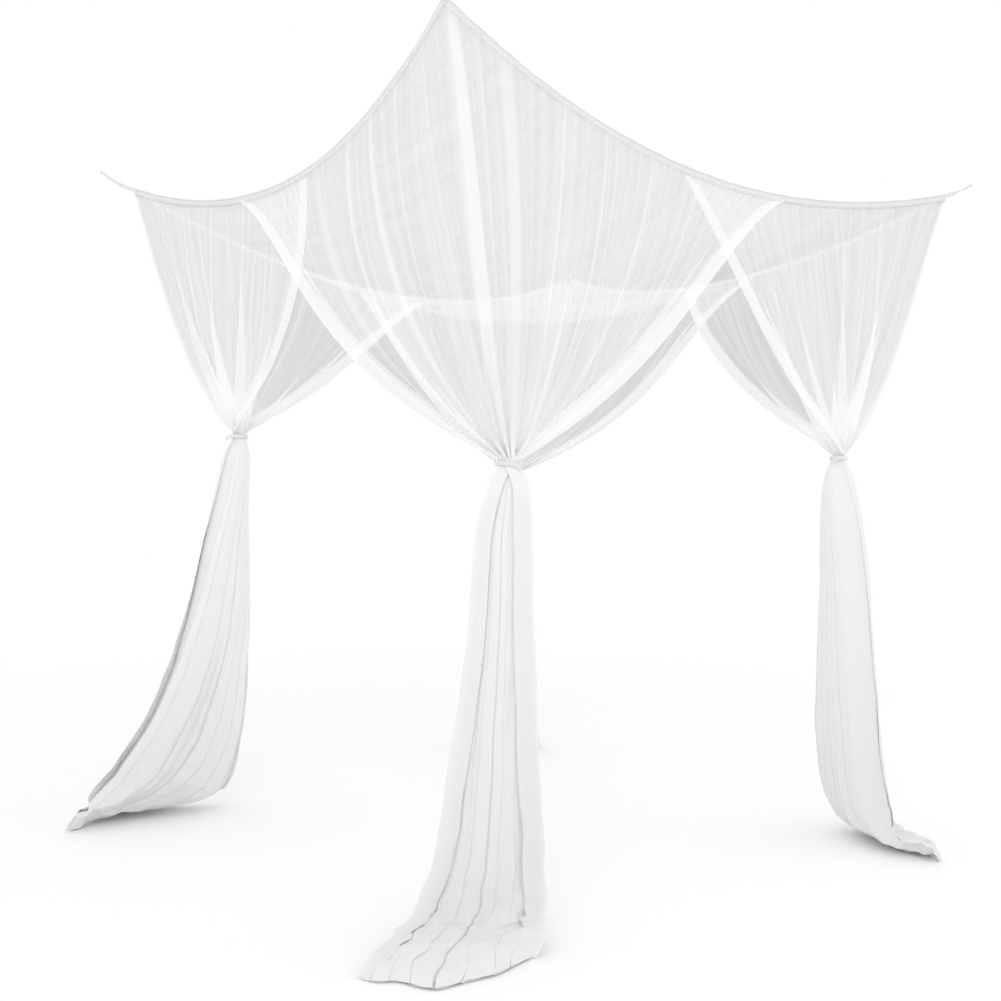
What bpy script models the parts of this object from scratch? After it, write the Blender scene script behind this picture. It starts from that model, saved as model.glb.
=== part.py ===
"""Four-corner mosquito net canopy, hung by a strap at each corner.

A net roof sags on its four bound edges. A curtain of net is sewn round each corner, drawn in to a neck by a
tie and falls from there as a pleated leg that trails on the floor. Everything is in metres, +Z is up and X
runs along the longer side. The pieces are modelled with the floor under the middle of the roof at (0, 0, 0),
on an empty that puts the outer end of one corner's strap, where the canopy hangs, at the world origin.
"""

from collections import namedtuple

import bmesh
import bpy
import numpy as np
from mathutils import Matrix

# Driving sizes.
SPAN_X = 2.06
SPAN_Y = 1.86
HANG_HEIGHT = 2.135
EDGE_BOW = 0.100
MIDDLE_SAG = 0.050
EDGE_SAG_X = {-1: 0.146, 1: 0.235}
EDGE_SAG_Y = {-1: 0.163, 1: 0.176}
CLOTH = 0.0010
ROOF_CLOTH = 0.0012
GAP = 0.0003

BINDING_THICKNESS = 0.0040
BINDING_HEIGHT = 0.022
BINDING_END_GAP = 0.0030
ROOF_INSET = BINDING_THICKNESS / 2 + 4 * GAP
ROOF_RISE = 0.006
CURTAIN_INSET = BINDING_THICKNESS / 2 + CLOTH / 2 + 3 * GAP
CURTAIN_DROP = 0.001

NECK_WIDTH = 0.060
NECK_DEPTH = 0.048
NECK_HALF_HEIGHT = 0.010
NECK_ROUNDNESS = 0.92
FOOT_HEIGHT = 0.055
FLOOR_GAP = 0.0010
SIDE_SAG = 0.20
SIDE_SAG_POWER = 4
BUNDLE_POWER = 4
EVEN_POWER = 6
SEAM_SHARE = 0.013

STRAP_THICKNESS = 0.0016
STRAP_HEIGHT = 0.0095
STRAP_END_HEIGHT = 0.006
STRAP_ROOT_IN = 0.0030
STRAP_ROOT_RISE = 0.0065
STRAP_CURVE = 1.5

TIE_THICKNESS = 0.0016
TIE_HEIGHT = 0.012
TIE_CLEARANCE = 0.0020
TIE_LAP = 0.0028
TAIL_BENDS = (8, 20, 34, 42)
TAIL_LENGTHS = (0.007, 0.0085, 0.0085, 0.010)

ROOF_CELLS = 16
BINDING_CELLS = 24
STRAP_CELLS = 6
TIE_CELLS = 28
DRAPE_ROWS = (0.0, 0.013, 0.04, 0.09, 0.17, 0.26, 0.36, 0.47, 0.58, 0.69, 0.79, 0.88, 0.94, 0.98, 1.0)
LEG_ROWS = 14
COLUMNS_A_FOLD = 4
FOLD_SIDES = (1, 1, -1, -1)

# A finish: its colour and roughness.
Finish = namedtuple("Finish", "colour roughness")
NET = Finish((0.90, 0.90, 0.89, 1.0), 0.85)
TAPE = Finish((0.95, 0.95, 0.94, 1.0), 0.80)
HANG_CORNER = "front_left"

# Fold depth, as a share of the neck's, against the share of the drop from the roof edge to the neck.
FOLD_SHARE_OF_DROP = (0.0, 0.03, 0.10, 0.20, 0.30, 0.50, 0.70, 0.86, 0.94, 1.0)
FOLD_HALF_DEPTH = (0.0, 0.0003, 0.003, 0.005, 0.009, 0.021, 0.036, 0.044, 0.037, 0.024)

# How late a thread leaves its plumb line: at the corner, on the way along the side and at the hem. The move
# along the edge is set for each side of each curtain, and the move into the canopy for each face.
ALONG_STOPS = (0.0, 0.5, 1.0)
INTO_STOPS = (0.0, 0.4, 1.0)
ALONG_Y = {
    "front_left": (1.0, 1.5, 0.75),
    "front_right": (0.75, 1.3, 1.40),
    "back_left": (1.0, 1.7, 1.90),
    "back_right": (1.1, 1.4, 0.66),
}
ALONG_X = {
    "front_left": (1.0, 1.5, 0.77),
    "front_right": (0.75, 1.3, 0.95),
    "back_left": (1.0, 1.4, 0.90),
    "back_right": (1.1, 1.5, 1.00),
}
INTO_CANOPY = {"outside": (1.1, 2.6, 3.4), "inside": (1.1, 1.5, 1.2)}

# A fold: its share of the cloth's width, and its depth beside the others'.
Fold = namedtuple("Fold", "width depth")
# A level of a leg: height of its middle, shift out from the canopy and across it, size along and through
# the folds, and in degrees its turn about the plumb line and its tilt towards lying on the floor.
Level = namedtuple("Level", "height out across width depth turn tilt")
# A corner: its signs in X and Y, the curtain's face of the binding, reach along each edge, the tie's
# distance in from each edge and its height, then the strap's reach and rise and the knot's bearing.
Corner = namedtuple(
    "Corner",
    "x y face reach_x reach_y tie_x tie_y tie_height strap_out strap_up knot_bearing",
)

CORNERS = {
    "front_left": Corner(-1, -1, "outside", 1.30, 1.19, 0.404, 0.241, 1.182, 0.120, 0.060, 0),
    "front_right": Corner(1, -1, "inside", 1.19, 1.04, 0.267, 0.207, 1.255, 0.085, 0.036, 80),
    "back_left": Corner(-1, 1, "inside", 1.17, 1.075, 0.275, 0.297, 1.284, 0.130, 0.067, -80),
    "back_right": Corner(1, 1, "outside", 1.20, 1.17, 0.482, 0.207, 1.200, 0.110, 0.050, 180),
}

# The folds of each curtain, in order from its hem on the shorter edge, round the corner, to its other hem.
FOLDS_BEFORE_CORNER = {
    "front_left": (Fold(1.30, 0.70), Fold(0.90, 1.10), Fold(1.05, 0.85), Fold(0.75, 1.15)),
    "front_right": (Fold(1.20, 0.80), Fold(0.85, 1.10), Fold(1.10, 0.90), Fold(0.85, 1.00)),
    "back_left": (Fold(1.15, 0.75), Fold(1.00, 1.15), Fold(0.80, 0.90), Fold(1.05, 1.05)),
    "back_right": (Fold(1.10, 0.80), Fold(0.95, 1.00), Fold(0.95, 1.00)),
}
FOLDS_AFTER_CORNER = {
    "front_left": (Fold(0.40, 1.00), Fold(1.15, 1.10), Fold(1.00, 0.80), Fold(1.45, 0.70)),
    "front_right": (Fold(0.90, 1.05), Fold(0.80, 1.15), Fold(1.05, 0.85), Fold(1.25, 0.75)),
    "back_left": (Fold(0.85, 1.10), Fold(1.10, 0.90), Fold(0.90, 1.10), Fold(1.15, 0.80)),
    "back_right": (Fold(0.90, 1.00), Fold(1.00, 1.00), Fold(1.10, 0.80)),
}

LEGS = {
    "front_left": (
        Level(1.120, 0.000, 0.000, 0.110, 0.085, 0, 0),
        Level(1.000, 0.003, -0.008, 0.145, 0.110, 0, 0),
        Level(0.800, 0.006, -0.008, 0.165, 0.125, 0, 0),
        Level(0.580, 0.008, -0.012, 0.198, 0.135, 0, 0),
        Level(0.360, 0.010, -0.018, 0.242, 0.145, 0, 0),
        Level(0.180, 0.014, -0.024, 0.284, 0.150, 0, 6),
        Level(0.085, 0.030, -0.036, 0.316, 0.155, 0, 28),
        Level(0.048, 0.080, -0.044, 0.336, 0.155, 0, 62),
        Level(0.036, 0.145, -0.058, 0.352, 0.155, 0, 84),
        Level(0.030, 0.225, -0.080, 0.370, 0.150, 0, 90),
        Level(0.028, 0.305, -0.100, 0.380, 0.140, 0, 90),
    ),
    "front_right": (
        Level(1.190, 0.000, 0.000, 0.100, 0.090, 5, 0),
        Level(1.080, 0.008, 0.000, 0.150, 0.120, 12, 0),
        Level(0.850, 0.026, 0.000, 0.190, 0.140, 18, 0),
        Level(0.600, 0.034, 0.006, 0.225, 0.146, 22, 0),
        Level(0.380, 0.044, 0.014, 0.250, 0.150, 24, 2),
        Level(0.200, 0.062, 0.026, 0.270, 0.155, 24, 10),
        Level(0.100, 0.086, 0.050, 0.290, 0.158, 22, 32),
        Level(0.054, 0.122, 0.074, 0.305, 0.155, 18, 64),
        Level(0.038, 0.182, 0.092, 0.310, 0.155, 14, 85),
        Level(0.030, 0.242, 0.100, 0.304, 0.150, 10, 90),
        Level(0.028, 0.292, 0.102, 0.292, 0.140, 8, 90),
    ),
    "back_left": (
        Level(1.215, 0.006, 0.000, 0.095, 0.090, -6, 0),
        Level(1.080, 0.020, -0.004, 0.125, 0.115, -12, 0),
        Level(0.940, 0.030, -0.010, 0.165, 0.130, -22, 1),
        Level(0.740, 0.036, -0.024, 0.220, 0.145, -32, 3),
        Level(0.560, 0.048, -0.042, 0.275, 0.155, -40, 5),
        Level(0.400, 0.074, -0.066, 0.325, 0.160, -45, 7),
        Level(0.260, 0.118, -0.098, 0.365, 0.165, -48, 12),
        Level(0.150, 0.180, -0.136, 0.388, 0.165, -47, 26),
        Level(0.080, 0.265, -0.172, 0.392, 0.160, -40, 52),
        Level(0.046, 0.348, -0.198, 0.380, 0.155, -30, 77),
        Level(0.036, 0.415, -0.212, 0.355, 0.145, -18, 90),
    ),
    "back_right": (
        Level(1.160, 0.000, 0.000, 0.100, 0.080, 0, 0),
        Level(1.000, 0.000, 0.000, 0.135, 0.105, 0, 0),
        Level(0.760, 0.000, 0.000, 0.165, 0.120, 0, 0),
        Level(0.500, 0.004, 0.000, 0.195, 0.130, 0, 0),
        Level(0.260, 0.010, 0.000, 0.220, 0.135, 0, 4),
        Level(0.110, 0.028, 0.000, 0.235, 0.140, 0, 24),
        Level(0.050, 0.070, 0.000, 0.245, 0.140, 0, 60),
        Level(0.030, 0.125, 0.000, 0.250, 0.140, 0, 86),
        Level(0.024, 0.180, 0.000, 0.255, 0.135, 0, 90),
    ),
}

# How far down its leg each curtain's lower edge ends, at the first hem, at the middle and at the last hem.
LEG_REACH = {
    "front_left": (0.97, 1.00, 0.80),
    "front_right": (0.88, 0.97, 1.00),
    "back_left": (1.00, 0.97, 0.84),
    "back_right": (0.95, 1.00, 0.95),
}


def clear_scene():
    for obj in list(bpy.data.objects):
        bpy.data.objects.remove(obj, do_unlink=True)


def new_collection(name):
    group = bpy.data.collections.new(name)
    bpy.context.scene.collection.children.link(group)
    return group


def new_material(name, finish):
    material = bpy.data.materials.new(name)
    material.use_nodes = True
    shader = material.node_tree.nodes["Principled BSDF"]
    shader.inputs["Base Color"].default_value = finish.colour
    shader.inputs["Roughness"].default_value = finish.roughness
    shader.inputs["Metallic"].default_value = 0.0
    material.diffuse_color = finish.colour
    return material


def new_sheet(name, points, thickness, finish, group, parent):
    """A sheet of the given thickness about a grid of points, from the faces of a plain grid moved onto them."""
    rows, columns = points.shape[:2]
    mesh = bpy.data.meshes.new(name)
    made = bmesh.new()
    bmesh.ops.create_grid(made, x_segments=columns - 1, y_segments=rows - 1, size=0.5)
    made.verts.ensure_lookup_table()
    order = sorted(made.verts, key=lambda vert: (round(-vert.co.y, 6), vert.co.x))
    for vert, point in zip(order, points.reshape(-1, 3)):
        vert.co = point
    made.to_mesh(mesh)
    made.free()
    obj = bpy.data.objects.new(name, mesh)
    obj.parent = parent
    obj.data.materials.append(new_material(name + "_finish", finish))
    group.objects.link(obj)
    solidify = obj.modifiers.new("thickness", "SOLIDIFY")
    solidify.thickness = thickness
    solidify.offset = 0.0
    return obj


def edge_sag(run, depth):
    return depth * (1 - run**2)


def edge_along_x(corner_y, x):
    """Points on the middle line of an edge that runs along X, at these x."""
    run = x / (SPAN_X / 2)
    y = corner_y * (SPAN_Y / 2 - edge_sag(run, EDGE_BOW))
    z = HANG_HEIGHT - edge_sag(run, EDGE_SAG_X[corner_y])
    return np.stack([x, y, z], axis=-1)


def edge_along_y(corner_x, y):
    """Points on the middle line of an edge that runs along Y, at these y."""
    run = y / (SPAN_Y / 2)
    x = corner_x * (SPAN_X / 2 - edge_sag(run, EDGE_BOW))
    z = HANG_HEIGHT - edge_sag(run, EDGE_SAG_Y[corner_x])
    return np.stack([x, y, z], axis=-1)


def roof_points():
    """The roof: its edges' sags carried across it, and a sag of its own in the middle."""
    run_y, run_x = np.meshgrid(
        np.linspace(-1, 1, ROOF_CELLS + 1), np.linspace(-1, 1, ROOF_CELLS + 1), indexing="ij"
    )
    x = run_x * (SPAN_X / 2 - edge_sag(run_y, EDGE_BOW) - ROOF_INSET)
    y = run_y * (SPAN_Y / 2 - edge_sag(run_x, EDGE_BOW) - ROOF_INSET)
    sag_x = (EDGE_SAG_X[-1] * (1 - run_y) + EDGE_SAG_X[1] * (1 + run_y)) / 2
    sag_y = (EDGE_SAG_Y[-1] * (1 - run_x) + EDGE_SAG_Y[1] * (1 + run_x)) / 2
    z = HANG_HEIGHT + ROOF_RISE - edge_sag(run_x, sag_x) - edge_sag(run_y, sag_y)
    z -= MIDDLE_SAG * (1 - run_x**2) * (1 - run_y**2)
    return np.stack([x, y, z], axis=-1)


def binding_points(middle):
    """A strip standing on edge about the middle line of a roof edge."""
    half = np.array([0, 0, BINDING_HEIGHT / 2])
    return np.stack([middle + half, middle - half])


def horizontal_axes(corner):
    """Across a corner from its first hem to its last, and straight out of it."""
    across = np.array([-corner.x, corner.y, 0]) / np.sqrt(2)
    out = np.array([corner.x, corner.y, 0]) / np.sqrt(2)
    return across, out


def fold_columns(name):
    """For each column of a curtain: distance from the corner along the edges, fold depth and fold side."""
    corner = CORNERS[name]
    before, after = FOLDS_BEFORE_CORNER[name], FOLDS_AFTER_CORNER[name]
    distance, depth = [], []
    sides = ((before, corner.reach_y, -corner.reach_y), (after, corner.reach_x, 0.0))
    for folds, reach, start in sides:
        total = sum(fold.width for fold in folds)
        for fold in folds:
            step = reach * fold.width / total / COLUMNS_A_FOLD
            distance += [start + step * k for k in range(COLUMNS_A_FOLD)]
            depth += [fold.depth] * COLUMNS_A_FOLD
            start += step * COLUMNS_A_FOLD
    distance.append(corner.reach_x)
    depth.append(depth[-1])
    side = list(FOLD_SIDES) * (len(before) + len(after)) + [FOLD_SIDES[0]]
    return np.array(distance), np.array(depth), np.array(side)


def curtain_top(corner, distance):
    """Where each column is sewn to the binding, and the level direction out of the canopy there."""
    shift = CURTAIN_INSET if corner.face == "outside" else -CURTAIN_INSET
    along_y = edge_along_y(corner.x, corner.y * (SPAN_Y / 2 + np.minimum(distance, 0)))
    along_x = edge_along_x(corner.y, corner.x * (SPAN_X / 2 - np.maximum(distance, 0)))
    before = (distance <= 0)[:, None]
    top = np.where(before, along_y, along_x)
    faces_x = (distance <= 0) * corner.x
    faces_y = (distance >= 0) * corner.y
    outward = np.stack([faces_x, faces_y, 0 * distance], axis=-1).astype(float)
    top = top + shift * outward - np.array([0, 0, CURTAIN_DROP])
    return top, outward / np.linalg.norm(outward, axis=1, keepdims=True)


def tie_centre(corner):
    return np.array(
        [
            corner.x * (SPAN_X / 2 - corner.tie_x),
            corner.y * (SPAN_Y / 2 - corner.tie_y),
            corner.tie_height,
        ]
    )


def bundle_roundness(place):
    """Fold depth across the gathered bundle, which is an ellipse: place runs from -1 to 1 across it."""
    return np.sqrt(1 - (NECK_ROUNDNESS * place) ** 2)


def drape_points(name, distance, depth, side):
    """The curtain from the roof edge to its neck.

    A thread falls evenly in height. Its level move to the neck starts late, by a power of the drop set by
    where it hangs, and one part of it, SIDE_SAG, later still. The folds deepen downwards and close at the tie.
    """
    corner = CORNERS[name]
    across, out = horizontal_axes(corner)
    top, outward = curtain_top(corner, distance)
    place = np.linspace(-1, 1, len(distance))
    neck = tie_centre(corner) + np.outer(place * NECK_WIDTH / 2, across)
    neck[:, 2] += NECK_HALF_HEIGHT
    reach = np.where(distance <= 0, corner.reach_y, corner.reach_x)
    far = np.abs(distance) / reach
    inward = np.interp(far, INTO_STOPS, INTO_CANOPY[corner.face])
    along_x = np.interp(far, ALONG_STOPS, ALONG_X[name])
    along_y = np.interp(far, ALONG_STOPS, ALONG_Y[name])
    power_x = np.where(distance <= 0, inward, along_x)
    power_y = np.where(distance <= 0, along_y, inward)
    power = np.stack([power_x, power_y, np.ones(len(distance))], axis=-1)
    drop = np.array(DRAPE_ROWS)[:, None, None]
    late = np.array([SIDE_SAG, SIDE_SAG, 0.0])
    free = np.maximum(drop - SEAM_SHARE, 0) / (1 - SEAM_SHARE)
    share = (1 - late) * free**power + late * free**SIDE_SAG_POWER
    share[..., 2] = drop[..., 0]
    base = top + (neck - top) * share
    facing = outward * (1 - drop) + out * drop
    facing = facing / np.linalg.norm(facing, axis=2, keepdims=True)
    drop = drop[:, :, 0]
    half_depth = np.interp(drop, FOLD_SHARE_OF_DROP, FOLD_HALF_DEPTH)
    uneven = depth + (1 - depth) * drop**EVEN_POWER
    bundle = 1 + (bundle_roundness(place) - 1) * drop**BUNDLE_POWER
    return base + (half_depth * uneven * bundle * side)[..., None] * facing


def smooth_levels(levels, position):
    """The levels' sizes at any position from 0 to 1 down the leg, on a smooth curve through the table."""
    table = np.array(levels, float)
    table = np.vstack([2 * table[0] - table[1], table, 2 * table[-1] - table[-2]])
    place = np.clip(position, 0, 1) * (len(levels) - 1)
    first = np.minimum(place.astype(int), len(levels) - 2)
    part = (place - first)[..., None]
    a, b, c, d = (table[first + k] for k in range(4))
    return b + part / 2 * (c - a + part * (2 * a - 5 * b + 4 * c - d + part * (3 * (b - c) + d - a)))


def leg_points(name, side):
    """The leg, from the neck down and out along the floor.

    Each level is a section across the folds, tilted towards the canopy's outside as it nears the floor. A
    section that lies down is pressed to FOOT_HEIGHT, and none of it comes nearer the floor than FLOOR_GAP.
    """
    corner = CORNERS[name]
    across, out = horizontal_axes(corner)
    neck_level = Level(corner.tie_height - NECK_HALF_HEIGHT, 0, 0, NECK_WIDTH, NECK_DEPTH, 0, 0)
    levels = (neck_level, *LEGS[name])
    place = np.linspace(-1, 1, len(side))
    reach = np.interp(place, (-1, 0, 1), LEG_REACH[name])
    position = np.linspace(0, 1, LEG_ROWS)[:, None] * reach
    height, shift_out, shift_across, width, depth, turn, tilt = np.moveaxis(
        smooth_levels(levels, position), -1, 0
    )
    turn, tilt = np.radians(turn), np.radians(np.clip(tilt, 0, 90))
    in_width = place * width / 2
    in_depth = side * bundle_roundness(place) * depth / 2
    level_across = in_width * np.cos(turn) - in_depth * np.sin(turn)
    level_out = in_width * np.sin(turn) + in_depth * np.cos(turn)
    press = FOOT_HEIGHT / np.ptp(level_out, axis=1, keepdims=True)
    rise = level_out * np.sin(tilt) * press
    lowest = -rise.min(axis=1, keepdims=True) + FLOOR_GAP + CLOTH / 2
    middle = tie_centre(corner) * np.array([1, 1, 0])
    z = np.maximum(height, lowest) + rise
    points = middle + (shift_across + level_across)[..., None] * across
    points = points + (shift_out + level_out * np.cos(tilt))[..., None] * out
    return points + z[..., None] * np.array([0, 0, 1])


def curtain_points(name):
    distance, depth, side = fold_columns(name)
    drape = drape_points(name, distance, depth, side)
    return np.concatenate([drape, leg_points(name, side)])


def strap_points(corner):
    """A tape standing on edge, from between the ends of two bindings out and up to where it is hung."""
    _, out = horizontal_axes(corner)
    run = np.linspace(0, 1, STRAP_CELLS + 1)
    root = np.array([corner.x * SPAN_X / 2, corner.y * SPAN_Y / 2, HANG_HEIGHT + STRAP_ROOT_RISE])
    middle = root + np.outer(run * corner.strap_out - (1 - run) * STRAP_ROOT_IN, out)
    middle[:, 2] += corner.strap_up * run**STRAP_CURVE
    half = (STRAP_HEIGHT + (STRAP_END_HEIGHT - STRAP_HEIGHT) * run) / 2
    half = np.outer(half, np.array([0, 0, 1]))
    return np.stack([middle + half, middle - half])


def tie_points(corner):
    """A band laid once round the neck, its first end under its last, which is left free."""
    across, out = horizontal_axes(corner)
    turn = np.linspace(0, 1, TIE_CELLS + 1)
    bearing = np.radians(corner.knot_bearing) + 2 * np.pi * turn
    half_across = NECK_WIDTH / 2 / NECK_ROUNDNESS + TIE_CLEARANCE + TIE_LAP * turn
    half_out = NECK_DEPTH / 2 + TIE_CLEARANCE + TIE_LAP * turn
    middle = tie_centre(corner) + np.outer(half_across * np.sin(bearing), across)
    middle = middle + np.outer(half_out * np.cos(bearing), out)
    level = np.array([0, 0, TIE_HEIGHT / 2])
    upper, lower = middle + level, middle - level
    along = middle[-1] - middle[-2]
    along /= np.linalg.norm(along)
    down = np.array([0, 0, -1.0])
    tail_upper, tail_lower = tail_points(middle[-1], along, down)
    return np.stack([np.concatenate([upper, tail_upper]), np.concatenate([lower, tail_lower])])


def tail_points(start, along, down):
    """The two sides of a band that leaves level at start and bends down in its own plane."""
    bend = np.radians(TAIL_BENDS)
    length = np.array(TAIL_LENGTHS)
    steps = np.outer(np.cos(bend) * length, along) + np.outer(np.sin(bend) * length, down)
    middle = start + np.cumsum(steps, axis=0)
    upward = np.outer(np.sin(bend), along) - np.outer(np.cos(bend), down)
    return middle + upward * TIE_HEIGHT / 2, middle - upward * TIE_HEIGHT / 2


def build_roof(group, parent):
    new_sheet("roof_net", roof_points(), ROOF_CLOTH, NET, group, parent)


def build_bindings(group, parent):
    run = np.linspace(-1, 1, BINDING_CELLS + 1)
    along_x = run * (SPAN_X / 2 - BINDING_END_GAP)
    along_y = run * (SPAN_Y / 2 - BINDING_END_GAP)
    middles = {
        "binding_front": edge_along_x(-1, along_x),
        "binding_back": edge_along_x(1, along_x),
        "binding_left": edge_along_y(-1, along_y),
        "binding_right": edge_along_y(1, along_y),
    }
    for name, middle in middles.items():
        strip = binding_points(middle)
        new_sheet(name, strip, BINDING_THICKNESS, TAPE, group, parent)


def build_corners(group, parent):
    for name, corner in CORNERS.items():
        new_sheet("curtain_" + name, curtain_points(name), CLOTH, NET, group, parent)
        new_sheet("strap_" + name, strap_points(corner), STRAP_THICKNESS, TAPE, group, parent)
        new_sheet("tie_" + name, tie_points(corner), TIE_THICKNESS, TAPE, group, parent)


def hang_point():
    """The middle of the outer end of the strap that carries the world origin."""
    return strap_points(CORNERS[HANG_CORNER])[:, -1].mean(axis=0)


def main():
    clear_scene()
    group = new_collection("mosquito_net_canopy")
    floor = bpy.data.objects.new("floor_under_middle", None)
    floor.matrix_world = Matrix.Translation(-hang_point())
    group.objects.link(floor)
    build_roof(group, floor)
    build_bindings(group, floor)
    build_corners(group, floor)


main()
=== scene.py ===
"""Mosquito net canopy for a bed: the finish and the fine drape of a sheer net that hangs by its four corners.

The pieces are worked out with the floor under the middle of the roof at (0, 0, 0), and then moved so that the
outer end of the front left corner's strap, where that corner is hung, is at the origin. Metres, +Z up.
"""

from collections import namedtuple

import bpy
import numpy as np
from mathutils import Matrix


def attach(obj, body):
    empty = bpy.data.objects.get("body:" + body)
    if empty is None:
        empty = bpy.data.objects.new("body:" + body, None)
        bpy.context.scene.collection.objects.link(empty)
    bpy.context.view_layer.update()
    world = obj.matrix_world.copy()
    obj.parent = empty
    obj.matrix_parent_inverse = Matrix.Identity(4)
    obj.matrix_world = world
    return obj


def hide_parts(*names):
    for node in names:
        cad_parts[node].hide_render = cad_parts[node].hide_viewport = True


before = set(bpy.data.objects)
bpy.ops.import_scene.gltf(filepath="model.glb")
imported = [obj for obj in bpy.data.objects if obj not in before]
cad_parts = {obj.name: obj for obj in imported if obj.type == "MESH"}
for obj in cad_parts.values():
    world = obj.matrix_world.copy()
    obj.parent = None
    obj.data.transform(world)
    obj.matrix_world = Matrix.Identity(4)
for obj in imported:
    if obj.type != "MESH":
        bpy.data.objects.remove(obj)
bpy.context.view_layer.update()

bl_info = {
    "name": "Mosquito Net Canopy",
    "version": (1, 0, 0),
    "blender": (4, 5, 0),
    "location": "View3D > Sidebar > Net Canopy",
    "description": "Sheer bed net with four tied corner curtains",
    "category": "Add Mesh",
}

BODY = "root"
UP = np.array([0.0, 0.0, 1.0])

# Sags of the roof's edges along X, then of those along Y, each by the sign of the side it lies on.
EDGE_SAG = ({-1: 0.146, 1: 0.235}, {-1: 0.163, 1: 0.176})

# How far the net keeps off a binding's face, the roof lies above the edges' middle lines and the curtains
# hang below them, and how much longer the roof's net is than its span, since its edges sag.
NET_GAP = 0.0012
ROOF_RISE = 0.006
CURTAIN_DROP = 0.001
# Half of a neck's height, and the share of its ellipse's width that the folds fill.
NECK_HALF_HEIGHT = 0.010
NECK_ROUNDNESS = 0.92
# The part of a thread's level move that comes last, and the powers of the drop by which that part grows, the
# bundle rounds off and the folds even out.
SIDE_SAG = 0.20
SIDE_SAG_POWER = 4
BUNDLE_POWER = 4
EVEN_POWER = 6
# The share of the drop that is sewn to the binding, and how far from a corner the net turns round it.
SEAM_SHARE = 0.013
CORNER_TURN = 0.05
# How flat a leg is pressed on the floor, its gap over the floor, its length for the waves, and how far a fold
# stands out from its middle, as a share of its depth.
FOOT_HEIGHT = 0.055
FLOOR_GAP = 0.0015
LEG_LENGTH = 1.25
LEG_FOLD_SHARE = 0.47

# A curve is its places and then its values there. Down the drape a place is the share of the drop from the
# roof edge to the neck, and down a leg the share of the way from the neck to the lower edge.
FOLD_HALF_DEPTH = (
    (0.0, 0.03, 0.10, 0.20, 0.30, 0.50, 0.70, 0.86, 0.94, 1.0),
    (0.0, 0.0003, 0.003, 0.005, 0.009, 0.018, 0.024, 0.027, 0.028, 0.024),
)
# How much shallower the folds end at the tie, the power of the drop by which they do, and how flat the
# crests of the hung folds are.
NECK_SQUEEZE = 0.17
NECK_SQUEEZE_POWER = 8
FOLD_FLATNESS = 1.5
# Spans of the drop over which, in turn, the folds pack and their places close up, and the hems come loose
# from the binding and are packed.
FOLDS_PACK = (0.70, 1.0)
PLACES_CLOSE = (0.84, 1.0)
HEMS_LOOSEN = (0.0, 0.06)
HEMS_PACK = (0.90, 1.0)

# How late a thread leaves its plumb line, as a power of the drop: at the corner, on the way along the side
# and at the hem. The move along the edge is set for each side of each curtain, and the move into the canopy
# for each face of the binding.
ALONG_STOPS = (0.0, 0.5, 1.0)
INTO_STOPS = (0.0, 0.4, 1.0)
ALONG_Y = {
    "front_left": (1.0, 1.5, 0.75),
    "front_right": (0.75, 1.3, 1.40),
    "back_left": (1.0, 1.7, 1.90),
    "back_right": (1.1, 1.4, 0.66),
}
ALONG_X = {
    "front_left": (1.0, 1.5, 0.77),
    "front_right": (0.75, 1.3, 0.95),
    "back_left": (1.0, 1.4, 0.90),
    "back_right": (1.1, 1.5, 1.00),
}
INTO_CANOPY = {"outside": (1.1, 2.6, 3.4), "inside": (1.1, 1.5, 1.2)}

# A corner: its signs in X and Y, the curtain's face of the binding, reach along each edge, the tie's
# distance in from each edge and its height, then the strap's reach, rise and twist and the knot's bearing.
Corner = namedtuple(
    "Corner",
    "x y face reach_x reach_y tie_x tie_y tie_height strap_out strap_up strap_twist knot_bearing",
)
CORNERS = {
    "front_left": Corner(-1, -1, "outside", 1.30, 1.19, 0.404, 0.241, 1.182, 0.120, 0.060, 60, 0),
    "front_right": Corner(1, -1, "inside", 1.19, 1.04, 0.267, 0.207, 1.255, 0.085, 0.036, 150, 80),
    "back_left": Corner(-1, 1, "inside", 1.17, 1.075, 0.275, 0.297, 1.284, 0.130, 0.067, -35, -80),
    "back_right": Corner(1, 1, "outside", 1.20, 1.17, 0.482, 0.207, 1.200, 0.110, 0.050, 60, 180),
}

# The folds of each curtain, in order from its hem on the edge along Y to its corner, then on to its other
# hem. Each is its share of the cloth's width and its depth beside the others'.
FOLDS = {
    "front_left": (
        ((1.30, 0.70), (0.90, 1.10), (1.05, 0.85), (0.75, 1.15)),
        ((0.40, 1.00), (1.15, 1.10), (1.00, 0.80), (1.45, 0.70)),
    ),
    "front_right": (
        ((1.20, 0.80), (0.85, 1.10), (1.10, 0.90), (0.85, 1.00)),
        ((0.90, 1.05), (0.80, 1.15), (1.05, 0.85), (1.25, 0.75)),
    ),
    "back_left": (
        ((1.15, 0.75), (1.00, 1.15), (0.80, 0.90), (1.05, 1.05)),
        ((0.85, 1.10), (1.10, 0.90), (0.90, 1.10), (1.15, 0.80)),
    ),
    "back_right": (
        ((1.10, 0.80), (0.95, 1.00), (0.95, 1.00)),
        ((0.90, 1.00), (1.00, 1.00), (1.10, 0.80)),
    ),
}

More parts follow.
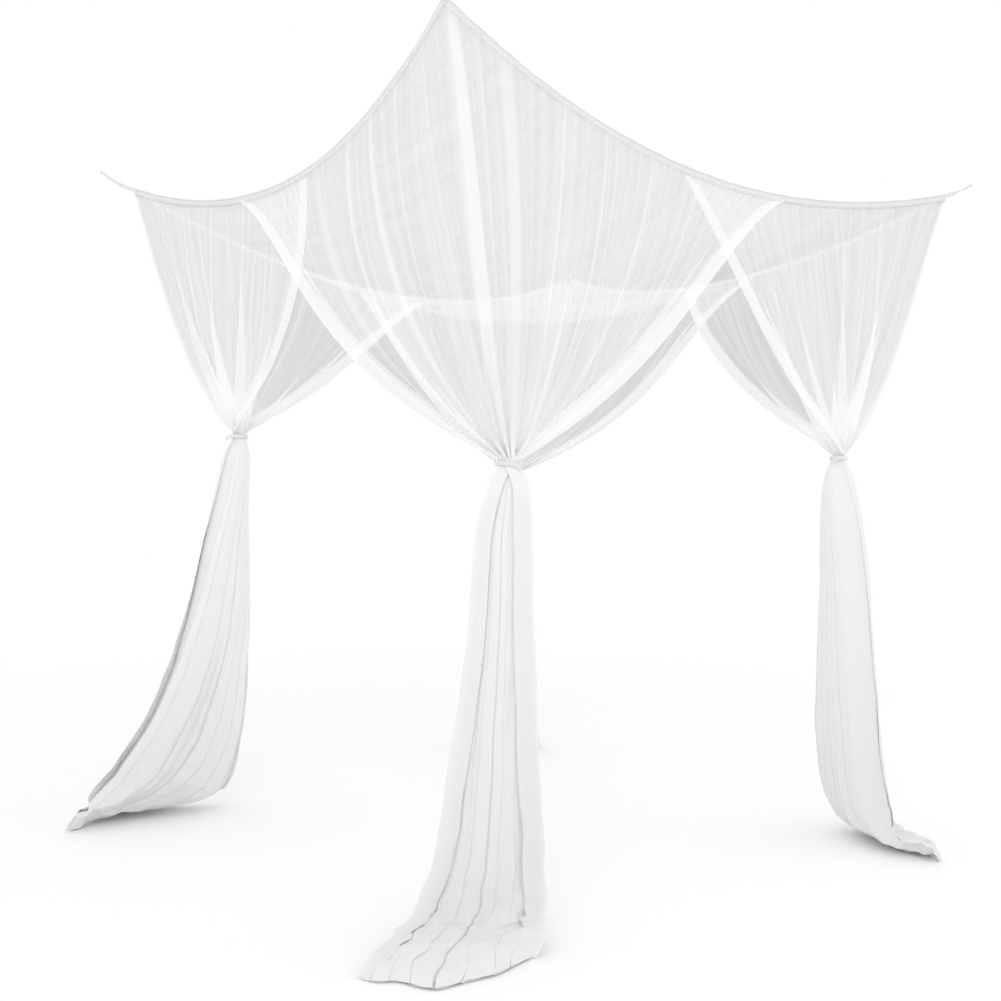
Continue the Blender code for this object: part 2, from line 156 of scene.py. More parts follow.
# A tuck: a soft ridge where net lies over itself, by its distance from the corner along the roof edge (less
# than zero on the edge along Y), half its width at the roof edge and at the neck, its layers and its depth.
Tuck = namedtuple("Tuck", "place half_top half_low layers depth")
TUCKS = {
    "front_left": (
        Tuck(-0.85, 0.006, 0.004, 0.6, 0.003),
        Tuck(-0.70, 0.009, 0.006, 1.1, 0.005),
        Tuck(-0.52, 0.009, 0.006, 1.7, 0.006),
        Tuck(-0.47, 0.003, 0.002, 0.6, 0.002),
        Tuck(-0.39, 0.009, 0.005, 1.8, 0.006),
        Tuck(-0.25, 0.006, 0.004, 1.1, 0.005),
        Tuck(-0.10, 0.008, 0.005, 0.9, 0.004),
        Tuck(0.021, 0.017, 0.027, 2.6, 0.010),
        Tuck(0.100, 0.004, 0.006, 0.7, 0.003),
        Tuck(0.190, 0.022, 0.011, 1.3, 0.006),
        Tuck(0.400, 0.004, 0.004, 1.8, 0.004),
        Tuck(0.430, 0.010, 0.006, 0.5, 0.003),
        Tuck(0.555, 0.004, 0.004, 1.5, 0.004),
        Tuck(0.600, 0.003, 0.003, 0.8, 0.002),
        Tuck(0.740, 0.004, 0.004, 1.6, 0.004),
        Tuck(0.930, 0.004, 0.004, 0.8, 0.003),
    ),
    "front_right": (
        Tuck(-0.82, 0.004, 0.005, 0.8, 0.003),
        Tuck(-0.62, 0.005, 0.005, 1.3, 0.004),
        Tuck(-0.45, 0.004, 0.004, 1.0, 0.003),
        Tuck(-0.34, 0.006, 0.006, 1.2, 0.004),
        Tuck(-0.20, 0.004, 0.005, 0.9, 0.003),
        Tuck(0.000, 0.010, 0.016, 2.0, 0.008),
        Tuck(0.180, 0.004, 0.004, 0.9, 0.003),
        Tuck(0.300, 0.006, 0.006, 1.4, 0.004),
        Tuck(0.360, 0.003, 0.003, 1.0, 0.003),
        Tuck(0.520, 0.004, 0.004, 0.9, 0.003),
        Tuck(0.800, 0.005, 0.005, 0.8, 0.003),
    ),
    "back_left": (
        Tuck(-0.82, 0.004, 0.005, 1.0, 0.003),
        Tuck(-0.68, 0.005, 0.006, 1.4, 0.004),
        Tuck(-0.57, 0.003, 0.004, 1.0, 0.003),
        Tuck(-0.48, 0.005, 0.005, 1.5, 0.004),
        Tuck(-0.39, 0.003, 0.004, 1.1, 0.003),
        Tuck(-0.30, 0.005, 0.005, 1.4, 0.004),
        Tuck(-0.20, 0.003, 0.004, 0.9, 0.003),
        Tuck(0.000, 0.010, 0.014, 2.0, 0.008),
        Tuck(0.220, 0.005, 0.005, 1.2, 0.004),
        Tuck(0.420, 0.004, 0.004, 1.0, 0.003),
        Tuck(0.640, 0.005, 0.005, 1.2, 0.004),
        Tuck(0.860, 0.004, 0.004, 0.8, 0.003),
    ),
    "back_right": (
        Tuck(-0.85, 0.004, 0.005, 0.8, 0.003),
        Tuck(-0.55, 0.006, 0.006, 1.2, 0.004),
        Tuck(-0.28, 0.004, 0.004, 1.0, 0.003),
        Tuck(0.000, 0.010, 0.014, 2.0, 0.008),
        Tuck(0.300, 0.005, 0.005, 1.1, 0.004),
        Tuck(0.580, 0.006, 0.006, 1.2, 0.004),
        Tuck(0.880, 0.004, 0.004, 0.8, 0.003),
    ),
}
# How much closer the columns stand at a tuck and how far beyond its width, how its ridge and its layers grow
# down the drape, and over how many metres of net it opens out. The layers' first curve runs over metres of
# net too. A tuck's sides are soft over a share of its width, and at least a little.
TUCK_DENSITY = 3.0
TUCK_MARGIN = 0.004
TUCK_RISE = ((0.0, 0.05, 0.25, 0.70, 0.92, 1.0), (0.02, 0.35, 0.90, 1.00, 0.50, 0.0))
TUCK_STRENGTH_BY_METRE = ((0.0, 0.06), (0.24, 0.80))
TUCK_STRENGTH = ((0.50, 0.90), (1.0, 0.50))
TUCK_OPENS = (0.0, 1.1)
TUCK_SOFT_SHARE = 0.45
TUCK_LEAST_SOFT = 0.0015

# The levels of each leg: height of its middle, shift out from the canopy and across it, size along and
# through the folds, and in degrees its turn about the plumb line and its tilt towards lying on the floor.
LEGS = {
    "front_left": (
        (1.120, 0.000, 0.000, 0.110, 0.085, 0, 0),
        (1.000, 0.003, -0.008, 0.145, 0.110, 0, 0),
        (0.800, 0.006, -0.008, 0.165, 0.125, 0, 0),
        (0.580, 0.008, -0.012, 0.198, 0.135, 0, 0),
        (0.360, 0.010, -0.018, 0.242, 0.145, 0, 0),
        (0.180, 0.014, -0.024, 0.284, 0.150, 0, 6),
        (0.085, 0.030, -0.036, 0.316, 0.155, 0, 28),
        (0.048, 0.080, -0.044, 0.336, 0.155, 0, 62),
        (0.036, 0.155, -0.058, 0.352, 0.155, 0, 84),
        (0.030, 0.250, -0.080, 0.370, 0.150, 0, 90),
        (0.028, 0.340, -0.100, 0.380, 0.140, 0, 90),
    ),
    "front_right": (
        (1.190, 0.000, 0.000, 0.100, 0.090, 5, 0),
        (1.080, 0.008, 0.000, 0.150, 0.120, 12, 0),
        (0.850, 0.026, 0.000, 0.190, 0.140, 18, 0),
        (0.600, 0.034, 0.006, 0.225, 0.146, 22, 0),
        (0.380, 0.044, 0.014, 0.250, 0.150, 24, 2),
        (0.200, 0.062, 0.026, 0.270, 0.155, 24, 10),
        (0.100, 0.086, 0.050, 0.290, 0.158, 22, 32),
        (0.054, 0.122, 0.074, 0.305, 0.155, 18, 64),
        (0.038, 0.182, 0.092, 0.310, 0.155, 14, 85),
        (0.030, 0.242, 0.100, 0.304, 0.150, 10, 90),
        (0.028, 0.292, 0.102, 0.292, 0.140, 8, 90),
    ),
    "back_left": (
        (1.215, 0.006, 0.000, 0.095, 0.090, -6, 0),
        (1.080, 0.020, -0.004, 0.125, 0.115, -12, 0),
        (0.940, 0.030, -0.010, 0.165, 0.130, -22, 1),
        (0.740, 0.036, -0.024, 0.220, 0.145, -32, 3),
        (0.560, 0.048, -0.042, 0.275, 0.155, -40, 5),
        (0.400, 0.074, -0.066, 0.325, 0.160, -45, 7),
        (0.260, 0.118, -0.098, 0.365, 0.165, -48, 12),
        (0.150, 0.180, -0.136, 0.388, 0.165, -47, 26),
        (0.080, 0.262, -0.168, 0.394, 0.160, -46, 52),
        (0.046, 0.338, -0.186, 0.388, 0.155, -43, 77),
        (0.036, 0.400, -0.196, 0.378, 0.145, -40, 90),
    ),
    "back_right": (
        (1.160, 0.000, 0.000, 0.100, 0.080, 0, 0),
        (1.000, 0.000, 0.000, 0.135, 0.105, 0, 0),
        (0.760, 0.000, 0.000, 0.165, 0.120, 0, 0),
        (0.500, 0.004, 0.000, 0.195, 0.130, 0, 0),
        (0.260, 0.010, 0.000, 0.220, 0.135, 0, 4),
        (0.110, 0.028, 0.000, 0.235, 0.140, 0, 24),
        (0.050, 0.070, 0.000, 0.245, 0.140, 0, 60),
        (0.030, 0.125, 0.000, 0.250, 0.140, 0, 86),
        (0.024, 0.180, 0.000, 0.255, 0.135, 0, 90),
    ),
}
# How far down its leg each curtain's lower edge ends, at the first hem, at the middle and at the last hem.
LEG_REACH = {
    "front_left": (0.97, 1.00, 0.80),
    "front_right": (0.88, 0.97, 1.00),
    "back_left": (1.00, 0.98, 0.95),
    "back_right": (0.95, 1.00, 0.95),
}
# A crease down the foot of a leg: its place across, half its width, its depth, and where it starts and ends.
# Each end is soft over a share of the leg.
Crease = namedtuple("Crease", "place half_width depth start end")
CREASE_STARTS_OVER = 0.12
CREASE_ENDS_OVER = 0.06
CREASES = {
    "front_left": (Crease(0.06, 0.060, 0.016, 0.62, 0.90), Crease(-0.45, 0.050, 0.005, 0.30, 0.80)),
    "front_right": (Crease(0.25, 0.040, 0.012, 0.50, 0.90),),
    "back_left": (Crease(-0.20, 0.040, 0.012, 0.40, 0.90),),
    "back_right": (Crease(0.20, 0.040, 0.012, 0.50, 0.90),),
}
# How high the folds stand as the net lies down.
SETTLE = ((0.0, 0.86, 0.92, 0.96, 0.985, 1.0), (1.0, 1.0, 0.92, 0.74, 0.48, 0.10))
# How much lower the last hem's side of a leg lies than the rest as it meets the floor, and where it does:
# over a span of the way across, and down the leg.
SUNK_SIDE = {"back_left": 0.70}
SUNK_ACROSS = (-0.2, 0.9)
SUNK = ((0.0, 0.50, 0.72, 0.88, 1.0), (0.0, 0.0, 1.0, 0.8, 0.0))

# A fold packed in the bundle, as a flat Z pleat: the share of its cloth at each bend, and the bend's place
# across the fold and side, from 1 on the bundle's outer face to -1 on its inner face.
PACKED_CLOTH = (0.0, 0.14, 0.36, 0.64, 0.86, 1.0)
PACKED_PLACE = (0.0, -0.05, 1.05, -0.05, 1.05, 1.0)
PACKED_SIDE = (0.0, 0.970, 1.0, -0.970, -1.0, 0.0)
# How far before its boundary a fold's pleat starts, and half the share of its cloth that lies on one face.
PACKED_START = 0.125
ON_FACE = 0.11
# In turn round the bundle: how deep each fold goes in, and how round it lies on a face.
FOLD_DEPTHS = (1.0, 0.988, 0.996, 0.984, 1.0, 0.990, 0.986, 0.996)
FOLD_ROUNDS = (0.006, 0.012, 0.003, 0.008, 0.014, 0.004, 0.010, 0.007)
# How far the net hidden between the folds weaves sideways, the span of the way into the bundle over which the
# weave grows, its waves in a fold, and how much of it is left down the leg.
HIDDEN_WEAVE = {"front_left": 0.008, "back_right": 0.024}
HIDDEN_SPAN = (0.40, 0.65)
WEAVES_A_FOLD = 6
WEAVE = ((0.0, 0.10, 0.78, 0.92, 1.0), (0.0, 1.0, 1.0, 0.40, 0.15))
# How unevenly the folds share the bundle's width, as waves in the form given below, but over that width.
BUNDLE_SHARES = ((0.7, 0.0, 0.11, 0.042), (1.65, 0.0, 0.40, 0.020))
# The hems lie flat over the bundle's outer face: their cloth's width, where they rejoin the folds, how far
# they stand out from the crests, and how much of their width lies flat from the neck down the leg.
HEM_CLOTH = 0.060
HEM_REJOINS = 0.200
HEM_SIDES = {-1: 1.08, 1: 1.14}
HEM_LAID = ((0.0, 0.12, 0.40, 1.0), (0.040, 0.044, 0.052, 0.056))
HEM_LAID_AT_NECK = HEM_LAID[1][0]
# How far in from its edge a hanging hem's direction is set, and how it narrows down the drape.
HEM_AIM = 0.30
HEM_NARROWS = ((0.86, 1.0), (1.0, HEM_LAID_AT_NECK / HEM_CLOTH))

# Small pleats between the tucks: this many to a fold, the slow waves of their wander as radians a fold, start
# and size, how far in from a hem they grow, and their lap and depth down the drape and on the leg.
PLEATS_A_FOLD = 3
PLEAT_WANDER = ((1.7, 0.6, 0.9), (4.1, 2.0, 0.5))
PLEATS_OFF_HEM = (0.035, 0.175)
PLEAT_LAP = ((0.50, 0.75, 0.92, 1.0), (0.0, 0.004, 0.012, 0.006))
PLEAT_DEPTH = ((0.0, 0.50, 0.75, 0.92, 1.0), (0.0, 0.0006, 0.0040, 0.0050, 0.0010))
LEG_PLEAT_LAP = 0.006
LEG_PLEAT_DEPTH = 0.0006
# Waves, each as its cycles a metre along two ways, its start and its size. First the crumples of net that
# lies on the floor, where the same waves start for the moves across it, and the ripples down a leg, each with
# its size. Then the puckers and leans of a binding.
CRUMPLES = (
    (4.3, 3.1, 0.15, 0.45), (-7.9, 5.2, 0.60, 0.30), (12.1, -8.4, 0.35, 0.17), (6.3, 15.0, 0.80, 0.15),
)
CROSS_START = 0.37
CRUMPLE_SIZE = ((0.0, 0.35, 0.70, 0.86, 1.0), (0.0, 0.002, 0.005, 0.010, 0.012))
RIPPLES = (
    (9.0, 0.5, 0.10, 0.60), (21.0, -0.8, 0.45, 0.40), (37.0, 1.3, 0.80, 0.26), (64.0, -1.6, 0.30, 0.14),
)
RIPPLE_SIZE = ((0.0, 0.10, 0.40, 1.0), (0.0, 0.0010, 0.0022, 0.0045))
PUCKERS = ((9.3, 0.0, 0.10, 0.5), (17.9, 0.0, 0.45, 0.35), (31.0, 0.0, 0.80, 0.15))
LEANS = ((1.3, 0.0, 0.20, 0.6), (3.7, 0.0, 0.70, 0.4))

# Counts of the fine grids. The drape's rows lie closer together near the roof edge, by this power.
COLUMN_SAMPLES = 8000
CURTAIN_COLUMNS = 400
DRAPE_ROWS = 96
DRAPE_ROW_POWER = 1.15
LEG_ROWS = 112
ROOF_COLUMNS = 128
ROOF_ROWS = 116
BINDING_STEPS = 240
TAPE_STEPS = 60
TAPE_SECTION = 20
TAIL_STEPS = 24

# Layers of net that a turned hem adds and that the stitches along its inner side gather. A side hem's width,
# as a share of its full width, grows over metres of net. Each hem's inner side is soft over a small span.
HEM_LAYERS = 2.4
HEM_GROWS = ((0.0, 0.15, 0.60), (0.60, 0.80, 1.0))
HEM_SOFT = (-0.004, 0.004)
STITCH_LAYERS = 0.9
STITCH_HALF_WIDTH = 0.0035
LOW_HEM = 0.030
LOW_HEM_SOFT = (-0.0025, 0.0025)
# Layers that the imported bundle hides, the span of metres from the neck over which they grow, and the span of
# the drop over which one more layer gathers above the tie.
BUNDLE_LAYERS = 9.0
BUNDLE_PACKS = (-0.06, 0.04)
FOLDS_GATHER = (0.70, 0.98)
# Painted shade that makes the imported net greyer than a single sheet down the leg: its body, and its
# outermost hems.
BODY_PAINTED_SHADE = ((0.0, 0.10, 0.50, 0.80, 1.0), (0.0, 0.015, 0.055, 0.11, 0.08))
HEM_PAINTED_SHADE = ((0.0, 0.10, 0.50, 0.80, 1.0), (0.0, 0.06, 0.10, 0.15, 0.12))
# The roof's net, as layers of the curtains': its front left half is drawn denser than its back right half,
# whose far slope is seen nearly edge on, a second time behind the first, and would else look too solid.
ROOF_LAYERS = (1.30, 0.35)
# The roof's wrinkles: their height, how soon they fade with the distance from a corner, how far from the
# corner and from the roof's edges they grow, and their sines of the bearing from a corner, as waves to a
# radian, start by the corner's sign in X and in Y, and size.
WRINKLE_HEIGHT = 0.0045
WRINKLE_FADE = 0.55
WRINKLES_OFF_CORNER = (0.0, 0.15)
WRINKLES_OFF_EDGE = (0.0, 0.2)
WRINKLES = ((15, 1.3, 1, 1.0), (27, 1, 0, 0.6))

# The bindings: their gap at each corner, their puckers' depth in and share of the height, their lean in
# degrees, and how far from an end both grow.
BINDING_END_GAP = 0.003
PUCKER_DEPTH = 0.0005
PUCKER_SHARE = 0.04
BINDING_LEAN = 9
PUCKERS_OFF_END = (0.0, 0.06)
LEANS_OFF_END = (0.0, 0.15)
# The straps: the tape's width, its height along its run, its root, the power of its rise and the part of its
# run over which it turns.
STRAP_HEIGHT = ((0.0, 0.12, 1.0), (0.0095, 0.0130, 0.0100))
STRAP_ROOT_IN = 0.0030
STRAP_ROOT_RISE = 0.0065
STRAP_CURVE = 1.5
STRAP_TURNS = (0.1, 0.9)
# A tie's gap round the neck and its lap, then its free end: the length of each of its parts, and its bend
# below level at their ends.
TIE_CLEARANCE = 0.0020
TIE_LAP = 0.0028
TAIL_LENGTHS = (0.0, 0.007, 0.0085, 0.0085, 0.010)
TAIL_BENDS = (0, 8, 20, 34, 42)
# A tape's section is a superellipse: its powers of the cosine across it and of the sine through it.
TAPE_POWERS = (0.7, 0.35)
# The cover from which net looks even, the repeats a metre of its streaks, which are about 26 mm wide and
# 1.1 m long, and the three ways, 60 degrees apart, whose waves make the hexagons of its knit.
EVEN_COVER = 0.70
STREAKS = (38.0, 0.9, 1.0)
KNIT_WAYS = ((1.0, 0.0, 0.0), (0.5, 0.866, 0.0), (0.5, -0.866, 0.0))
# The spacing of a tape's ribs, how often a wave texture repeats in a metre at scale one, and the repeats a
# metre of a tape's mottle, which is about 11 mm wide. On a wide tape: the seam's distance from the middle
# line and half its width, the length of a stitch, and where the painted shade on the turned edge starts and
# ends. The seam carries a painted shade as well as its dimple.
TAPE_RIB = 0.0012
WAVE_REPEATS = 3.2
TAPE_MOTTLES = 90.0
SEAM_PLACE = 0.0072
SEAM_HALF_WIDTH = 0.0016
STITCH_LENGTH = 0.005
TURNED_EDGE_SHADE = (0.0092, 0.0110)

# Light from the room, the white seen straight on, the white seen through net, and the floor's grey straight
# on and through net; seen through net, both carry a painted shade. The floor fades into the white between two
# distances, and ends far beyond them.
ROOM_LIGHT = 0.98
WHITE_SEEN = 1.0
WHITE_THROUGH_NET = 0.58
FLOOR_GREY = 0.97
FLOOR_THROUGH_NET = 0.60
FLOOR_FADE = (1.7, 4.2)
FLOOR_RADIUS = 40.0
FLOOR_SIDES = 96
# The height that the studio's soft lights aim at, then each one's place from there, size and power.
AIM_HEIGHT = 1.1
STUDIO_LIGHTS = (
    ("key", (-3.6, -3.2, 2.6), 3.2, 26.0),
    ("fill", (3.8, -2.4, 1.2), 3.6, 12.0),
)
# A line of sight can cross a dozen folds of net, so it may pass through many see-through layers.
SEE_THROUGH_LAYERS = 96

# The camera stands outside the front left corner, a little over a metre above the floor.
CAMERA_PLACE = (-2.267, -2.703, 1.097)
CAMERA_YAW = 38.71
CAMERA_PITCH = -0.195
CAMERA_ROLL = 1.4
CAMERA_LENS = 36.97
CAMERA_SENSOR = 36.0


def linear_from_hex(colour):
    """An sRGB hex colour as linear red, green and blue."""
    share = np.array([int(colour[k : k + 2], 16) / 255 for k in (0, 2, 4)])
    return tuple(np.where(share <= 0.04045, share / 12.92, ((share + 0.055) / 1.055) ** 2.4))


class CanopySizes(bpy.types.PropertyGroup):
    span_x: bpy.props.FloatProperty(
        name="Span X", description="Roof width between corners", default=2.06, unit="LENGTH"
    )
    span_y: bpy.props.FloatProperty(
        name="Span Y", description="Roof depth between corners", default=1.86, unit="LENGTH"
    )
    hang_height: bpy.props.FloatProperty(
        name="Hang height", description="Height of the roof's corners", default=2.135, unit="LENGTH"
    )
    edge_bow: bpy.props.FloatProperty(
        name="Edge bow", description="How far an edge draws in at its middle", default=0.100, unit="LENGTH"
    )
    middle_sag: bpy.props.FloatProperty(
        name="Middle sag", description="The roof's own sag below its edges", default=0.050, unit="LENGTH"
    )
    binding_thickness: bpy.props.FloatProperty(
        name="Binding thickness", description="Thickness of the bound edge", default=0.0040, unit="LENGTH"
    )
    binding_height: bpy.props.FloatProperty(
        name="Binding height", description="Height of the bound edge", default=0.022, unit="LENGTH"
    )
    cloth_length: bpy.props.FloatProperty(
        name="Curtain length", description="Net from roof edge to lower edge", default=2.40, unit="LENGTH"
    )
    neck_width: bpy.props.FloatProperty(
        name="Neck width", description="Width of a tied neck", default=0.060, unit="LENGTH"
    )
    neck_depth: bpy.props.FloatProperty(
        name="Neck depth", description="Depth of a tied neck", default=0.048, unit="LENGTH"
    )
    tie_width: bpy.props.FloatProperty(
        name="Tie width", description="Width of the tie tape", default=0.012, unit="LENGTH"
    )
    tape_thickness: bpy.props.FloatProperty(
        name="Tape thickness", description="Thickness of ties and straps", default=0.0016, unit="LENGTH"
    )


class CanopyFinish(bpy.types.PropertyGroup):
    net_colour: bpy.props.FloatVectorProperty(
        name="Net", description="Colour of the polyester net", subtype="COLOR",
        min=0, max=1, default=linear_from_hex("fdfdfe"),
    )
    tape_colour: bpy.props.FloatVectorProperty(
        name="Tape", description="Colour of bindings, ties and straps", subtype="COLOR",
        min=0, max=1, default=linear_from_hex("e9e9ea"),
    )
    net_cover: bpy.props.FloatProperty(
        name="Net cover", description="Share of one layer of net that is yarn",
        default=0.31, min=0, max=1, subtype="FACTOR",
    )
    hem_width: bpy.props.FloatProperty(
        name="Hem width", description="Width of the hem along a curtain's side", default=0.060, unit="LENGTH"
    )
    net_cell: bpy.props.FloatProperty(
        name="Net cell", description="Spacing of the net's holes as drawn", default=0.0065, unit="LENGTH"
    )


def unit(vectors):
    """Each vector divided by its own length."""
    return vectors / np.linalg.norm(vectors, axis=-1, keepdims=True)


def rising(value, start, end):
    """Zero below start and one above end, with a smooth rise between."""
    share = np.clip((value - start) / (end - start), 0, 1)
    return share * share * (3 - 2 * share)


def soft_waves(u, v, waves):
    """A sum of sine waves over u and v. Each wave is its cycles a metre along u and v, its start and size."""
    return sum(size * np.sin(2 * np.pi * (along_u * u + along_v * v + start))
               for along_u, along_v, start, size in waves)


def run_length(points, axis=0):
    """Distance along each line of points from its first point."""
    steps = np.linalg.norm(np.diff(points, axis=axis), axis=-1)
    return np.insert(np.cumsum(steps, axis=axis), 0, 0, axis=axis)


def edge_sag(run, depth):
    """Depth at the middle of a run from -1 to 1, falling to nothing at its ends as a parabola."""
    return depth * (1 - run**2)


def half_spans(sizes):
    """Half of the roof's width along X and along Y, between corners."""
    return sizes.span_x / 2, sizes.span_y / 2


def edge_points(sizes, axis, side, place):
    """Points on the middle line of a roof edge, which sags down and bows inwards.

    It runs along this axis, 0 for X or 1 for Y, on the side of this sign, and place is along the axis.
    """
    half = half_spans(sizes)
    run = place / half[axis]
    points = np.empty((*place.shape, 3))
    points[..., axis] = place
    points[..., 1 - axis] = side * (half[1 - axis] - edge_sag(run, sizes.edge_bow))
    points[..., 2] = sizes.hang_height - edge_sag(run, EDGE_SAG[axis][side])
    return points


def horizontal_axes(corner):
    """Across a corner from its first hem to its last, and straight out of it."""
    across = np.array([-corner.x, corner.y, 0]) / np.sqrt(2)
    out = np.array([corner.x, corner.y, 0]) / np.sqrt(2)
    return across, out


def strap_root(sizes, corner):
    """The middle of a strap's inner end: the roof's corner, a little higher."""
    half_x, half_y = half_spans(sizes)
    return np.array([corner.x * half_x, corner.y * half_y, sizes.hang_height + STRAP_ROOT_RISE])


def tie_centre(sizes, corner):
    """The middle of a tie: in from the roof's corner along both edges, and at its own height."""
    half_x, half_y = half_spans(sizes)
    x, y = corner.x * (half_x - corner.tie_x), corner.y * (half_y - corner.tie_y)
    return np.array([x, y, corner.tie_height])


def hang_point(sizes):
    """The outer end of the front left strap."""
    corner = CORNERS["front_left"]
    _, out = horizontal_axes(corner)
    return strap_root(sizes, corner) + corner.strap_out * out + corner.strap_up * UP


def fold_boundaries(name):
    """Distances from the corner of the folds' boundaries along the roof edge, and the depth of each fold."""
    corner = CORNERS[name]
    boundaries, depths = [-corner.reach_y], []
    for folds, reach in zip(FOLDS[name], (corner.reach_y, corner.reach_x)):
        widths, side_depths = np.array(folds).T
        boundaries.extend(boundaries[-1] + np.cumsum(reach * widths / widths.sum()))
        depths.extend(side_depths)
    return np.array(boundaries), np.array(depths)


def fold_position(name, distance):
    """How many folds, with a part of one, lie between the first hem and this distance from the corner."""
    boundaries, _ = fold_boundaries(name)
    return np.interp(distance, boundaries, np.arange(len(boundaries)))


def cloth_columns(name, count):
    """Distances of the columns along the roof edge, closer together at the tucks.

    Each tuck adds a bell to an even density, a margin and the tuck's own width to a side, and the columns
    share the area under it equally.
    """
    boundaries, _ = fold_boundaries(name)
    fine = np.linspace(boundaries[0], boundaries[-1], COLUMN_SAMPLES + 1)
    density = np.ones_like(fine)
    for tuck in TUCKS[name]:
        density += TUCK_DENSITY * np.exp(-(((fine - tuck.place) / (TUCK_MARGIN + 2 * tuck.half_top)) ** 2))
    area = np.insert(np.cumsum((density[1:] + density[:-1]) / 2), 0, 0)
    return np.interp(np.linspace(0, area[-1], count + 1), area, fine)


def pleat_phase(fold):
    """Angle of the small pleats at a fold position: even pleats with a slow wander, so no two are alike."""
    wander = sum(size * np.sin(rate * fold + start) for rate, start, size in PLEAT_WANDER)
    return 2 * np.pi * PLEATS_A_FOLD * fold + wander


def lapped(name, cloth, pleat_lap):
    """Where each column hangs along the roof edge once the small pleats lap over.

    The shift is a sine of the fold position, which dies away towards both hems.
    """
    first, last = fold_boundaries(name)[0][[0, -1]]
    free = rising(np.minimum(cloth - first, last - cloth), *PLEATS_OFF_HEM)
    shift = pleat_lap * np.sin(pleat_phase(fold_position(name, cloth))) * free
    return np.clip(cloth + shift, first, last)


def tuck_ridges(name, cloth):
    """Height of the tucks' ridges out of the net: a bell over each tuck, half as wide again."""
    return sum(
        tuck.depth * np.exp(-(((cloth - tuck.place) / (1.5 * tuck.half_top)) ** 2) / 2)
        for tuck in TUCKS[name]
    )


def hung_side(fold):
    """The main folds' wave where the net hangs free, from -1 to 1.

    It is a cosine flattened by a hyperbolic tangent.
    """
    return np.tanh(FOLD_FLATNESS * np.cos(2 * np.pi * (fold - PACKED_START))) / np.tanh(FOLD_FLATNESS)


def packed_fold(fold):
    """A fold position's place across the bundle, in folds, its side and its weave.

    Each fold lies as a flat Z pleat: across the outer face, slantwise back through the bundle, across the
    inner face and straight out to the next fold. On both faces each fold laps a little over the next, so the
    faces are closed, and it rounds off by a fourth power of the way from its middle, which is at a quarter of
    its cloth on the outer face and at three quarters on the inner. The side runs from -1 on the inner face to
    1 on the outer, and the weave moves the net inside the bundle sideways, from -1 to 1.
    """
    whole = np.floor(fold + PACKED_START)
    part = fold + PACKED_START - whole
    place = whole + np.interp(part, PACKED_CLOTH, PACKED_PLACE) - 0.25
    side = np.interp(part, PACKED_CLOTH, PACKED_SIDE)
    turn = whole.astype(int)
    rounds = np.resize(FOLD_ROUNDS, turn.max() + 1)[turn]
    on_face = (np.minimum(np.abs(part - 0.25), np.abs(part - 0.75)) / ON_FACE).clip(0, 1)
    side = side * (1 - rounds * on_face**4)
    depths = np.resize(FOLD_DEPTHS, turn.max() + 1)[turn]
    side = np.where(side < 0, side * (2 * depths - 1), side)
    inside = rising(np.abs(2 * ((2 * part) % 1) - 1), *HIDDEN_SPAN)
    return place, side, inside * np.sin(2 * np.pi * WEAVES_A_FOLD * part)


def bundle_place(fold, folds):
    """Where a fold position stands across the bundle, from -1 to 1, with some folds wider than others."""
    place = np.clip(2 * fold / folds - 1, -1, 1)
    return place + soft_waves(place, 0 * place, BUNDLE_SHARES) * (1 - place**2)


def bundle_roundness(place):
    """Depth across the gathered bundle, which is an ellipse: place runs from -1 to 1 across it."""
    return np.sqrt(1 - (NECK_ROUNDNESS * place) ** 2)


def to_hems(name, cloth):
    """For each of a curtain's hems, its end of the bundle, -1 or 1, and each column's cloth out to it."""
    corner = CORNERS[name]
    return (-1, cloth + corner.reach_y), (1, corner.reach_x - cloth)


def hem_share(to_hem):
    """One in a hem, and a smooth fall to zero where the net has rejoined the folds."""
    return 1 - rising(to_hem, HEM_CLOTH, HEM_REJOINS)


def off_hems(name, cloth):
    """Zero in a hem, and a smooth rise to one where the net has rejoined the folds."""
    return 1 - sum(hem_share(to_hem) for _, to_hem in to_hems(name, cloth))


def with_hems(name, cloth, place, side, laid):
    """The same places and sides with both hems laid flat over the outer face of the bundle.

    A hem's cloth runs evenly inwards from the bundle's end by laid, a share of half the bundle's width, just
    outside the crests. Then the net turns back under it and eases into the folds.
    """
    for end, to_hem in to_hems(name, cloth):
        in_hem = np.clip(to_hem / HEM_CLOTH, 0, 1)
        flat = hem_share(to_hem)
        place = (end - end * laid * in_hem) * flat + place * (1 - flat)
        side = HEM_SIDES[end] * flat + side * (1 - flat)
    return place, side


def with_flat_hems(name, cloth, drop, surface):
    """The hanging net with each hem at its full width, flat along the line from the hem's edge into the net.

    The hem keeps to the binding's curve where it is sewn on, and narrows a little as it enters the tie.
    """
    loose = (rising(drop, *HEMS_LOOSEN) * (1 - rising(drop, *HEMS_PACK)))[..., None]
    narrowing = np.interp(drop, *HEM_NARROWS)
    for end, to_hem in to_hems(name, cloth):
        edge = surface[:, :1] if end < 0 else surface[:, -1:]
        inner = np.abs(to_hem[0] - HEM_AIM).argmin()
        into_net = unit(surface[:, inner : inner + 1] - edge)
        flat = edge + (np.minimum(to_hem, HEM_REJOINS) * narrowing)[..., None] * into_net
        part = hem_share(to_hem)[..., None] * loose
        surface = surface * (1 - part) + flat * part
    return surface


def corner_share(distance):
    """Zero on the edge that runs along Y, one on the edge along X, and a smooth turn at the corner."""
    return rising(distance, -CORNER_TURN, CORNER_TURN)


